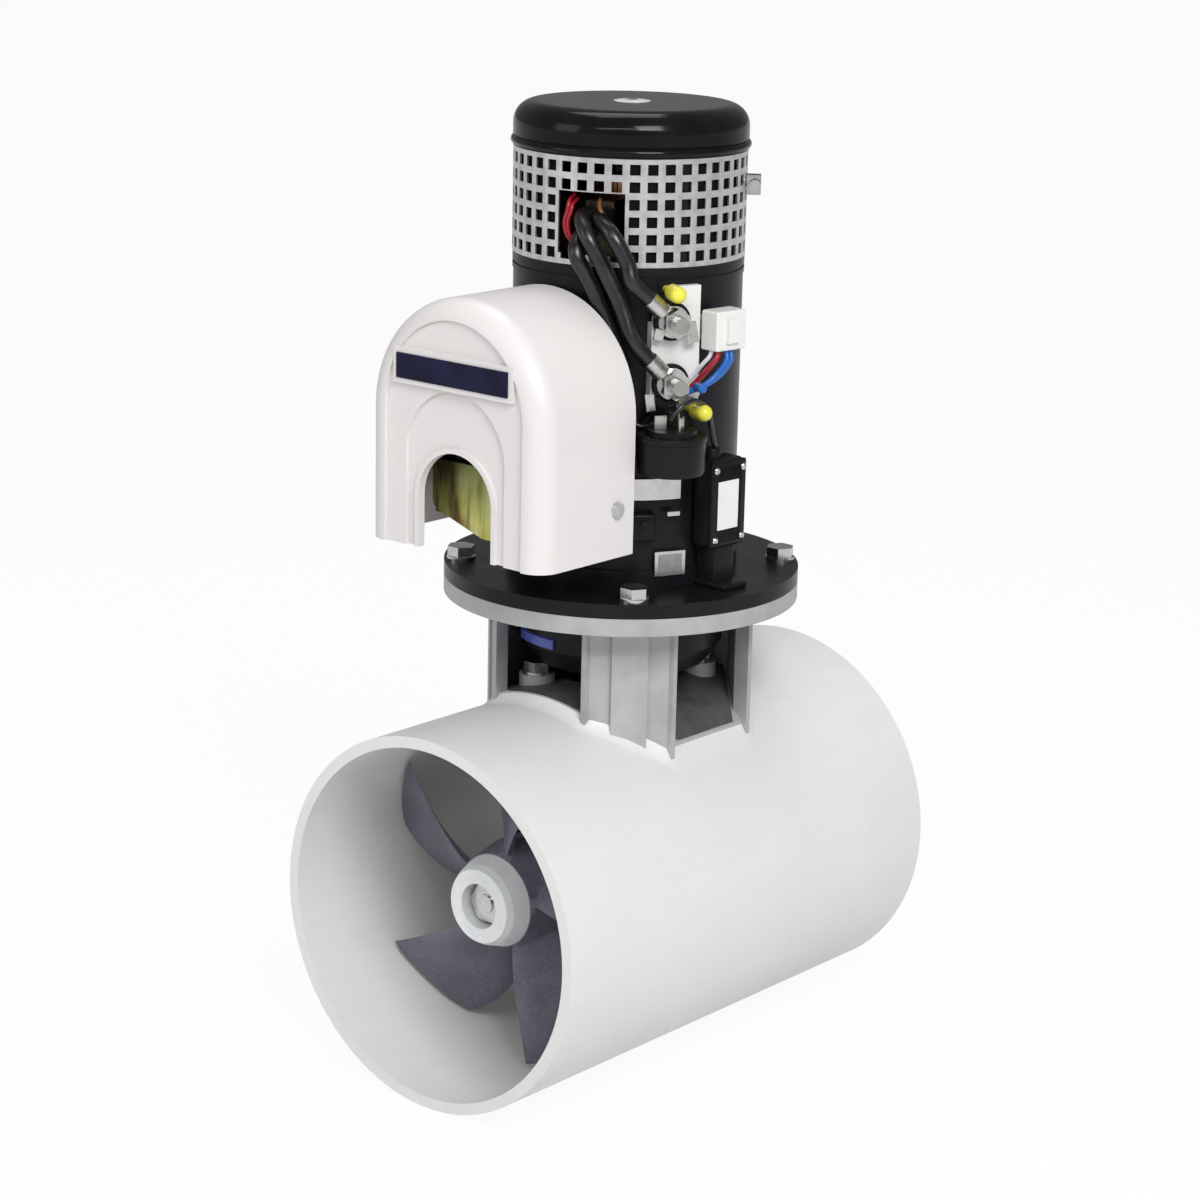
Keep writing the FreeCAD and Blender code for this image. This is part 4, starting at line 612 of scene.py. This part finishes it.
def propeller():
    """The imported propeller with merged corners, at the turn that it rests in."""
    mesh = nodes["propeller"].data.copy()
    mesh.name = "propeller_wheel"
    bm = bmesh.new()
    bm.from_mesh(mesh)
    bmesh.ops.remove_doubles(bm, verts=bm.verts, dist=0.00001)
    bmesh.ops.rotate(bm, cent=(0, 0, 0), matrix=about(PROPELLER_TURN, "Y").to_3x3(), verts=bm.verts)
    bmesh.ops.scale(bm, vec=(1 / MM, 1 / MM, 1 / MM), verts=bm.verts)
    bpy.data.meshes.remove(mesh)
    finish = nodes["propeller"].data.materials[0]
    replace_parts(settle("propeller_wheel", bm, finish, "propeller_line"), "propeller")


# ---- motor ----------------------------------------------------------------------------------
# Place and size of the near-black liner that paints the shade behind the band's holes.
LINER_R, LINER_LOW, LINER_HIGH = 57.6, 330.0, 381.0
LINER_START, LINER_SWEEP = math.radians(-51.5), math.radians(325)
LINER_THICKNESS = 0.25


def painted_shade_liner_finish():
    """Near-black sheet with a fine woven pattern: painted shade for the inside of the motor."""
    s = Shader("painted shade liner")
    x, y, z = s.axes()
    warp = ((s.angle(x, y) * 460.0).remainder() - 0.5).size()
    weft = ((z * 1250.0).remainder() - 0.5).size()
    thread = warp.maths("MAXIMUM", warp, weft)
    tone = s.mix(thread.ramp(0.2, 0.5), (0.003, 0.003, 0.003), (0.012, 0.012, 0.013))
    return s.finish(tone, 0.9, 0.0, s.bump(thread, 0.0002), {"Specular IOR Level": 0.05})


def painted_shade_liner():
    """Near-black sheet behind the perforated band, open at the brush window; it paints the shade inside the
    motor seen through the holes.
    """
    bm = bmesh.new()
    x, y = LINER_R * math.cos(LINER_START), LINER_R * math.sin(LINER_START)
    first = bm.verts.new((x, y, LINER_LOW))
    second = bm.verts.new((x, y, LINER_HIGH))
    edge = bm.edges.new((first, second))
    bmesh.ops.spin(bm, geom=[first, second, edge], axis=(0, 0, 1), cent=(0, 0, 0), angle=LINER_SWEEP,
                   steps=106, use_merge=False, use_duplicate=False)
    bmesh.ops.recalc_face_normals(bm, faces=bm.faces)
    bmesh.ops.solidify(bm, geom=bm.faces[:], thickness=LINER_THICKNESS)
    settle("painted_shade_liner", bm, painted_shade_liner_finish())


def cap_screw():
    """Polished domed screw with its washer in the middle of the motor cap; its near-white colour is a
    painted highlight.
    """
    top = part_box("motor_cap")[1].z / MM - 0.8
    dome = [(0.0, 0.78), (3.6, 0.76), (6.0, 0.62), (8.0, 0.36), (9.4, 0.1), (9.5, -0.1), (0.0, -0.1)]
    bm = spun([(r, z + top) for r, z in dome], 40)
    settle("cap_screw", bm, painted_highlight_white)


def ring_arc(profile, start, sweep, steps):
    """Solid of revolution over part of a turn, closed at both ends."""
    bm = bmesh.new()
    section = bm.faces.new([bm.verts.new((r, 0, z)) for r, z in profile])
    bmesh.ops.rotate(bm, cent=(0, 0, 0), matrix=about(start).to_3x3(), verts=bm.verts)
    bmesh.ops.spin(bm, geom=[section] + section.edges[:] + section.verts[:], axis=(0, 0, 1), cent=(0, 0, 0),
                   angle=math.radians(sweep), steps=steps, use_merge=False, use_duplicate=False)
    bmesh.ops.remove_doubles(bm, verts=bm.verts, dist=0.001)
    bmesh.ops.recalc_face_normals(bm, faces=bm.faces)
    return bm


def spigot():
    """Black collar under the motor spigot, with a blue seal lip on it."""
    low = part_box("leg_bolts")[1].z / MM + 0.7
    collar = [(54.0, 139.0), (54.0, low + 11.0), (46.5, low), (27.0, low), (27.0, low + 4.0),
              (34.0, 133.0), (34.0, 139.0)]
    settle("spigot_collar", spun(collar, 96), black_enamel)
    lip = [(53.6, low + 12.0), (55.4, low + 12.6), (55.4, low + 17.4), (53.6, low + 18.0)]
    settle("seal_lip", ring_arc(lip, -118.0, 30.0, 16), blue_lip)


CAP_FOOT = 382.2


def cap_rim():
    """Rolled lip round the foot of the motor cap."""
    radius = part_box("motor_cap")[1].x / MM
    section = [(-0.6, 0.6), (0.5, 0.9), (1.1, 1.7), (1.2, 2.6), (0.9, 3.6), (0.3, 4.3), (-0.6, 4.6)]
    roll = [(radius + out, CAP_FOOT + up) for out, up in section]
    settle("cap_rim", spun(roll, 128), black_gloss)


# ---- tunnel ---------------------------------------------------------------------------------
BEAD_WIDTH = 9.0
BEAD_HEIGHT = 4.6
BEAD_STEPS = 7
BEAD_EDGE_SINK = 0.25                         # the outer edge goes just under the tunnel's skin
TUNNEL_R = 98.5
SADDLE_HALF = 60.6
SADDLE_CORNER = 66.0
WALL_INNER, WALL_OUTER = 57.0, 60.0
WALL_HALF_WIDTH, WALL_TOP = 31.0, 149.0
WALL_STEPS = 14
PAD_SHEETS = ((54.0, 54.0, 5.4), (60.6, 28.6, 5.3), (28.6, 60.6, 5.2))    # half sizes and lift
PAD_CORNER = 41.5
PAD_HOLE_R = 31.0
PAD_THICKNESS = 0.6


def tunnel_top(x, lift=0.0):
    """Height of the tunnel's outside, or of a skin that lies on it, at a distance from its axis."""
    return math.sqrt((TUNNEL_R + lift) ** 2 - x ** 2)


def away_from_saddle(x, y):
    """Direction square to the saddle's straight sides, and slanting off its corners."""
    sides = Vector([max(-1.0, min(1.0, place / SADDLE_HALF * 1.02)) ** 15 for place in (x, y)])
    return sides.normalized() if sides.length > 0.05 else Vector((x, y)).normalized()


def laminate_bead():
    """Cove of laminate that joins the tunnel to the foot of the saddle."""
    half, cut = SADDLE_HALF, SADDLE_CORNER * math.sqrt(2) - SADDLE_HALF
    outline = [(half, -cut), (half, cut), (cut, half), (-cut, half),
               (-half, cut), (-half, -cut), (-cut, -half), (cut, -half)]
    bm = bmesh.new()
    bm.faces.new([bm.verts.new((x, y, 0)) for x, y in outline])
    bmesh.ops.subdivide_edges(bm, edges=bm.edges[:], cuts=11)
    rim = [e for e in bm.edges if e.is_boundary]
    bmesh.ops.delete(bm, geom=bm.faces[:], context="FACES_ONLY")
    rings = [list({v for e in rim for v in e.verts})]
    step = BEAD_WIDTH / BEAD_STEPS
    for _ in range(BEAD_STEPS):
        made = bmesh.ops.extrude_edge_only(bm, edges=rim)["geom"]
        rim = [g for g in made if isinstance(g, bmesh.types.BMEdge) and g.is_boundary]
        fresh = [g for g in made if isinstance(g, bmesh.types.BMVert)]
        for v in fresh:
            away = away_from_saddle(v.co.x, v.co.y)
            v.co.x += away.x * step
            v.co.y += away.y * step
        rings.append(fresh)
    for k, ring in enumerate(rings):
        height = BEAD_HEIGHT * (1 - k / BEAD_STEPS) ** 2
        sink = BEAD_EDGE_SINK if k == BEAD_STEPS else 0.0
        for v in ring:
            v.co.z = tunnel_top(v.co.x) + height - sink
    bmesh.ops.recalc_face_normals(bm, faces=bm.faces)
    if sum(f.normal.z for f in bm.faces) < 0:
        bmesh.ops.reverse_faces(bm, faces=bm.faces)
    gelcoat_finish = nodes["tunnel_tube"].data.materials[0]
    settle("laminate_bead", bm, gelcoat_finish, sharp=math.radians(80))


def pad_sheet(reach_x, reach_y, lift):
    """Thin sheet that follows the tunnel, with bevelled corners and a hole for the gear leg."""
    sheet = bmesh.new()
    bmesh.ops.create_grid(sheet, x_segments=36, y_segments=36, size=1.0)
    bmesh.ops.scale(sheet, vec=(reach_x, reach_y, 1.0), verts=sheet.verts)
    for side_x, side_y in ((1, 1), (1, -1), (-1, 1), (-1, -1)):
        everything = sheet.verts[:] + sheet.edges[:] + sheet.faces[:]
        bmesh.ops.bisect_plane(sheet, geom=everything, plane_no=(side_x, side_y, 0), clear_outer=True,
                               plane_co=(PAD_CORNER * side_x, PAD_CORNER * side_y, 0))
    hole = [f for f in sheet.faces if f.calc_center_median().length < PAD_HOLE_R]
    bmesh.ops.delete(sheet, geom=hole, context="FACES")
    for v in sheet.verts:
        v.co.z = tunnel_top(v.co.x, lift)
    bmesh.ops.recalc_face_normals(sheet, faces=sheet.faces)
    bmesh.ops.solidify(sheet, geom=sheet.faces[:], thickness=PAD_THICKNESS)
    return sheet


def saddle_floor_pad():
    """Dark grey pad on the tunnel inside the saddle: it stands for the leg's flange and paints the shade on
    the saddle floor.
    """
    pad = bmesh.new()
    for reach_x, reach_y, lift in PAD_SHEETS:
        added(pad, pad_sheet(reach_x, reach_y, lift))
    settle("saddle_floor_pad", pad, pad_paint_and_painted_shade)


def saddle_far_walls():
    """Closed walls on the two far sides of the saddle."""
    thickness, width = WALL_OUTER - WALL_INNER, 2 * WALL_HALF_WIDTH
    xs = [-WALL_HALF_WIDTH + width * k / WALL_STEPS for k in range(WALL_STEPS + 1)]
    foot_line = [(x, WALL_INNER, tunnel_top(x) - 0.4) for x in xs]
    top_line = [(WALL_HALF_WIDTH, WALL_INNER, WALL_TOP), (-WALL_HALF_WIDTH, WALL_INNER, WALL_TOP)]
    bm = prism(foot_line + top_line, (0, thickness, 0))
    foot = tunnel_top(WALL_INNER) - 2.0
    side_wall = slab(thickness, width, WALL_TOP - foot)
    added(bm, placed(side_wall, None, (-(WALL_OUTER + WALL_INNER) / 2, 0, (WALL_TOP + foot) / 2)))
    bmesh.ops.recalc_face_normals(bm, faces=bm.faces)
    settle("saddle_far_walls", bm, nodes["saddle_bracket"].data.materials[0])


# ---- control gear on the motor -----------------------------------------------------------------
BOX_ANGLE, BOX_MIDDLE = -4.0, 67.6
STRAP_LOW, STRAP_HIGH = 211.2, 222.0
HOOD_SCREW_Y, HOOD_SCREW_Z = -75.0, 214.5
PLATE_ANGLE, BLOCK_ANGLE = -26.0, -40.0
TERMINAL_ANGLE = -30.0
RELAY_ANGLE = -32.5


def control_box():
    """Moulded box with a rounded shoulder, a lid seam, a cable gland and a foot on the flange."""
    bm = placed(slab(15.0, 24.0, 46.0, 3.2, 4), None, (0, 0, 209.0))
    lid = placed(slab(3.0, 25.0, 44.0, 1.0), None, (6.0, 0, 209.0))
    gland = spun([(0, 0), (4.2, 0), (4.2, 5.0), (3.2, 6.5), (0, 6.5)], 24)
    placed(gland, None, (-1.0, -4.0, 230.5))
    foot = placed(slab(13.0, 15.0, 21.5, 1.2), None, (-1.0, 0, 176.4))
    ear = placed(slab(22.0, 17.0, 3.0, 1.0), None, (3.0, 0, 167.0))
    for part in (lid, gland, foot, ear):
        added(bm, part)
    at_motor(bm, BOX_ANGLE, BOX_MIDDLE, 0)
    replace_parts(settle("control_box_case", bm, black_moulding), "control_box")
    label = at_motor(slab(0.5, 15.0, 25.0, 0.15, 1), BOX_ANGLE, BOX_MIDDLE + 7.7, 208.5, -1.0)
    settle("box_label", label, paper_label)
    screws = bmesh.new()
    for side in (-9.8, 9.8):
        for height in (191.0, 227.0):
            head = spun([(0, 0), (1.9, 0), (1.9, 0.6), (1.2, 1.2), (0, 1.2)], 20)
            added(screws, placed(head, about(90, "Y"), (BOX_MIDDLE + 7.4, side, height)))
    settle("box_screws", placed(screws, about(BOX_ANGLE)), stainless)


def hood_strap():
    """Flat strap round the motor, with a cross-piece and two lugs for the hood screws."""
    middle = (STRAP_LOW + STRAP_HIGH) / 2
    section = [(59.0, STRAP_LOW), (60.6, STRAP_LOW), (60.6, STRAP_HIGH), (59.0, STRAP_HIGH)]
    strap = ring_arc(section, -159.0, 138.0, 64)
    added(strap, placed(slab(112.6, 1.6, STRAP_HIGH - STRAP_LOW, 0.2, 1), None, (0, -61.3, middle)))
    for side in (-1, 1):
        added(strap, placed(slab(1.5, 22.0, 10.8, 0.2, 1), None, (side * 55.8, -72.0, middle)))
        stub = spun([(0, 0), (1.8, 0), (1.8, 4.0), (0, 4.0)], 20)
        added(strap, placed(stub, about(90.0 * side, "Y"), (side * 54.6, HOOD_SCREW_Y, HOOD_SCREW_Z)))
    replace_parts(settle("hood_strap_band", strap, stainless), "hood_strap")


def contactor_plate():
    """Passivated bracket for the contactors, with a shelf and a shield with a slanted foot."""
    left, right, back, front = -31.0, 46.0, -65.0, -111.0
    top, sheet = 232.0, 1.8
    width, middle = right - left, (left + right) / 2
    outline = [(left, 209.0), (left + 3.0, 206.0), (3.0, 196.0), (right - 5.0, 196.0),
               (right, 201.0), (right, top), (left, top)]
    shield = prism([(x, front, z) for x, z in outline], (0, sheet, 0))
    shelf = slab(width, back - front - 2.4, sheet, 0.2, 1)
    added(shield, placed(shelf, None, (middle, (back + front) / 2 + 0.9, 204.9)))
    added(shield, placed(slab(width, 2.0, 54.0, 0.2, 1), None, (middle, back, 225.0)))
    for side in (-14.0, 14.0):
        added(shield, placed(slab(12.0, 15.0, 12.0, 0.2, 1), None, (side, -57.5, top)))
    bmesh.ops.recalc_face_normals(shield, faces=shield.faces)
    finish = nodes["contactor_bracket"].data.materials[0]
    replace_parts(settle("contactor_plate", shield, finish), "contactor_bracket")


def rating_plate():
    """Bare metal plate on the foot of the motor, a tab on its strap and a block beside them."""
    plate = at_motor(slab(0.5, 17.0, 13.0, 0.2, 1), PLATE_ANGLE, 61.3, 178.0)
    settle("rating_plate", plate, stainless)
    panel = at_motor(slab(0.5, 13.0, 9.4, 0.15, 1), PLATE_ANGLE, 61.6, 178.0)
    settle("rating_panel", panel, label_metal)
    tab = at_motor(slab(1.2, 7.0, 2.6, 0.3, 1), PLATE_ANGLE, 64.0, 204.5)
    settle("strap_tab", tab, stainless)
    block = placed(slab(7.0, 12.0, 14.0, 1.0), None, (62.6, 0, 198.0))
    button = spun([(0, 0), (2.4, 0), (2.4, 3.5), (0, 3.5)], 20)
    added(block, placed(button, about(90, "Y"), (65.0, 0, 200.0)))
    settle("strap_block", placed(block, about(BLOCK_ANGLE)), black_moulding)


def signal_wires():
    """Thin wires from the white connector to the terminals and the relay, and leads at the brushes."""
    for k, (side, step) in enumerate(((-0.5, 0.0), (2.2, 2.4))):
        blue = route((-7.0, 71.0, 290.0, side), (-6.0 + step, 74.0, 285.0), (-9.5 + step, 75.0, 280.0),
                     (-14.5 + step, 75.5, 275.0), (-18.5, 74.0, 270.5), (-23.5, 69.5 - step, 267.5))
        wire("blue_wire_%d" % k, blue, 1.4, blue_wire_skin)
    red = route((-7.0, 71.0, 290.0, -4.5), (-11.0, 74.0, 286.5), (-14.0, 73.0, 281.0),
                (-16.0, 68.0, 275.0), (-18.0, 65.0, 270.0), (-23.0, 62.6, 265.0))
    wire("red_wire", red, 1.5, red_wire_skin)
    white = route((-7.0, 70.0, 290.0, -6.6), (-13.5, 72.0, 286.0), (-15.5, 68.0, 281.0),
                  (-17.0, 64.5, 276.0), (-21.0, 62.4, 270.0))
    wire("white_wire", white, 1.1, white_wire_skin)
    sleeve = [(0, -3.5), (1.9, -3.5), (2.3, -1.5), (2.3, 3.5), (1.6, 4.2), (0, 4.2)]
    lug = placed(spun(sleeve, 20), about(90, "X"))
    placed(lug, about(68.0), round_motor(-20.5, 75.0, 270.6))
    settle("blue_wire_sleeve", lug, blue_wire_skin)
    hood_run = route((-52.0, 63.5, 262.0), (-48.0, 66.0, 254.0), (-43.0, 67.0, 250.0),
                     (-38.0, 68.0, 252.0), (-34.0, 70.0, 254.0))
    wire("hood_lead", hood_run, 1.0, sheath)
    for k, (angle, drop) in enumerate(((-83.0, 0.0), (-81.0, 2.0))):
        brush_run = route((angle, 50.0, 362.0 - drop), (angle + 1.5, 57.0, 361.0 - drop),
                          (angle + 2.0, 59.0, 355.0), (angle - 1.0, 58.0, 349.0),
                          (angle + 1.0, 57.5, 341.0), (angle + 5.0, 52.0, 335.0))
        wire("brush_lead_%d" % k, brush_run, 1.0, red_wire_skin)
    brown = route((-66.0, 52.0, 361.0), (-65.0, 60.0, 359.0), (-61.0, 62.0, 353.0),
                  (-58.0, 62.5, 346.0), (-55.0, 60.0, 340.0))
    wire("screen_wire", brown, 1.0, brown_wire_skin)


def terminal_boots():
    """Black rubber collars behind the nuts of the two power studs."""
    bm = bmesh.new()
    for height in (303.0, 272.0):
        ring = spun([(7.2, 0), (9.6, 0), (9.9, 1.0), (9.6, 2.2), (8.6, 2.8), (7.2, 2.6)], 40)
        added(bm, placed(ring, outwards(TERMINAL_ANGLE), round_motor(TERMINAL_ANGLE, 64.6, height)))
    settle("terminal_boots", bm, rubber)


TAGS = ((-22.0, 297.5, 6.0, 11.0, 12.0), (-21.0, 266.0, 7.0, 6.0, -25.0),      # angle, height, width,
        (-39.5, 263.0, 5.0, 9.0, 8.0), (-36.5, 297.0, 5.0, 6.0, -15.0))        # length and lean


def terminal_hardware():
    """Small tags beside the power nuts, and pegs above and below them."""
    bm = bmesh.new()
    for angle, height, width, tall, lean in TAGS:
        tag = placed(slab(1.0, width, tall, 0.3, 1), about(lean, "X"))
        added(bm, placed(tag, about(angle), round_motor(angle, 69.5, height)))
    settle("terminal_tags", bm, plated_brass)
    pegs = bmesh.new()
    for angle, height in ((-33.5, 312.5), (-34.5, 262.5)):
        peg = spun([(0, 0), (3.4, 0), (3.4, 4.0), (2.2, 5.0), (0, 5.0)], 24)
        added(pegs, placed(peg, outwards(angle), round_motor(angle, 64.0, height)))
    settle("terminal_pegs", pegs, black_moulding)


def relay_fittings():
    """Relay can with a rim and a stem to the motor, spade terminals on top, and two leads."""
    centre = round_motor(RELAY_ANGLE, 78.9, 0.0)
    can = [(0.0, 229.0), (14.6, 229.0), (16.2, 229.6), (17.0, 231.2), (17.0, 245.6), (17.6, 246.0),
           (17.6, 248.2), (16.8, 248.8), (12.6, 248.8), (12.4, 251.6), (0.0, 251.6)]
    case = placed(spun(can, 64), None, (centre.x, centre.y, 0))
    added(case, at_motor(slab(7.0, 16.0, 14.0, 1.0), RELAY_ANGLE, 63.0, 238.0))
    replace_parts(settle("relay_case", case, black_moulding), "relay")
    tabs = bmesh.new()
    for side, out in ((-6.0, 3.0), (6.0, 3.0), (0.0, -6.0)):
        tab = placed(slab(0.8, 6.3, 7.0, 0.2, 1), about(side * 9), (side, out, 255.0))
        added(tabs, placed(tab, about(RELAY_ANGLE), (centre.x, centre.y, 0)))
    settle("relay_tabs", tabs, plated_brass)
    first = [centre + Vector((3.0, -5.0, 257.0)), centre + Vector((8.0, -1.0, 268.0))]
    first += route((-16.0, 74.0, 262.0), (-10.0, 68.0, 248.0), (-6.0, 66.6, 236.0))
    wire("relay_lead", first, 1.4, sheath)
    second = [centre + Vector((-3.0, 6.0, 257.0)), centre + Vector((-2.0, 9.0, 264.0))]
    second += route((-34.0, 66.0, 262.0), (-38.0, 62.5, 255.0), (-44.0, 60.6, 246.0), (-52.0, 60.2, 238.0))
    wire("relay_lead_second", second, 1.4, sheath)


propeller()
painted_shade_liner()
cap_screw()
spigot()
cap_rim()
laminate_bead()
saddle_floor_pad()
saddle_far_walls()
hood_strap()
contactor_plate()
control_box()
rating_plate()
signal_wires()
terminal_boots()
terminal_hardware()
relay_fittings()


# ---- camera, floor and light --------------------------------------------------------------
CAMERA_PLACE = Vector((1.0041, -1.1911, 0.5639))
CAMERA_AZIMUTH, CAMERA_HEIGHT, CAMERA_ROLL = (math.radians(a) for a in (40.52, 15.13, 1.29))
LENS, SENSOR = 91.74, 36.0
VIEW_REACH = 100.0
FLOOR_WHITE = 0.94
FLOOR_HALF = 40.0
FLOOR_GAP = 0.0005


def camera():
    """Camera at its place, turned by azimuth, height and roll."""
    data = bpy.data.cameras.new("camera")
    data.lens, data.sensor_width, data.clip_end = LENS, SENSOR, VIEW_REACH
    obj = linked("camera", data)
    flat = math.cos(CAMERA_HEIGHT)
    back = Vector((math.sin(CAMERA_AZIMUTH) * flat, -math.cos(CAMERA_AZIMUTH) * flat,
                   math.sin(CAMERA_HEIGHT)))
    right = (-back).cross(Vector((0, 0, 1))).normalized()
    up = right.cross(-back)
    turned_right = right * math.cos(CAMERA_ROLL) + up * math.sin(CAMERA_ROLL)
    turned_up = up * math.cos(CAMERA_ROLL) - right * math.sin(CAMERA_ROLL)
    view = Matrix((turned_right, turned_up, back)).transposed()
    obj.matrix_world = Matrix.Translation(CAMERA_PLACE) @ view.to_4x4()
    bpy.context.scene.camera = obj


def seen(s):
    """1 for camera and glass rays, and less for mirror rays."""
    camera_ray, glossy, through = s.rays()
    return camera_ray.maths("MAXIMUM", camera_ray, glossy.maths("MAXIMUM", glossy * 0.5, through))


def floor():
    """Pale floor that keeps the shadow."""
    mesh = bpy.data.meshes.new("floor")
    bm = bmesh.new()
    bmesh.ops.create_grid(bm, x_segments=1, y_segments=1, size=FLOOR_HALF)
    bmesh.ops.translate(bm, vec=(0, 0, cad_box[0].z - FLOOR_GAP), verts=bm.verts)
    bm.to_mesh(mesh)
    bm.free()
    s = Shader("pale floor")
    white = s.add("ShaderNodeEmission", None, {"Color": rgba((1.0, 1.0, 1.0)), "Strength": 1.0})
    card = s.add("ShaderNodeBsdfDiffuse", None, {"Color": rgba((0.88, 0.88, 0.88))})
    both = s.add("ShaderNodeMixShader", None, {0: seen(s) * FLOOR_WHITE, 1: card, 2: white})
    s.add("ShaderNodeOutputMaterial", None, {"Surface": both})
    paint(linked("floor", mesh), s.material)


def world():
    """White studio: bright to the camera, softer as light and in mirrors."""
    sky = bpy.data.worlds.new("studio")
    bpy.context.scene.world = sky
    s = NodeTree(sky)
    camera_ray, glossy, through = s.rays()
    level = 0.34 + (camera_ray + through) * 0.66 + glossy * -0.1
    light = s.add("ShaderNodeBackground", None, {"Color": rgba((1.0, 1.0, 1.0)), "Strength": level})
    s.add("ShaderNodeOutputWorld", None, {"Surface": light})


def lamp(name, place, aim, size, power):
    """Rectangular soft light that looks at a point."""
    data = bpy.data.lights.new(name, "AREA")
    data.shape, data.size, data.size_y, data.energy = "RECTANGLE", size[0], size[1], power
    obj = linked(name, data)
    obj.location = place
    obj.rotation_mode = "QUATERNION"
    obj.rotation_quaternion = (Vector(aim) - Vector(place)).to_track_quat("-Z", "Y")


camera()
floor()
world()
lamp("key", (1.5, -0.9, 1.5), (0, 0, 0.15), (0.8, 0.8), 27.5)
lamp("fill", (-0.9, -1.9, 0.9), (0, 0, 0.15), (1.0, 1.0), 6.3)
lamp("top", (-0.4, 0.3, 1.9), (0, 0, 0.1), (0.9, 0.9), 9.0)
lamp("strip", (0.95, -1.15, 1.15), (0, 0, 0.38), (1.9, 0.07), 6.5)
bpy.context.scene.view_settings.view_transform = "Standard"
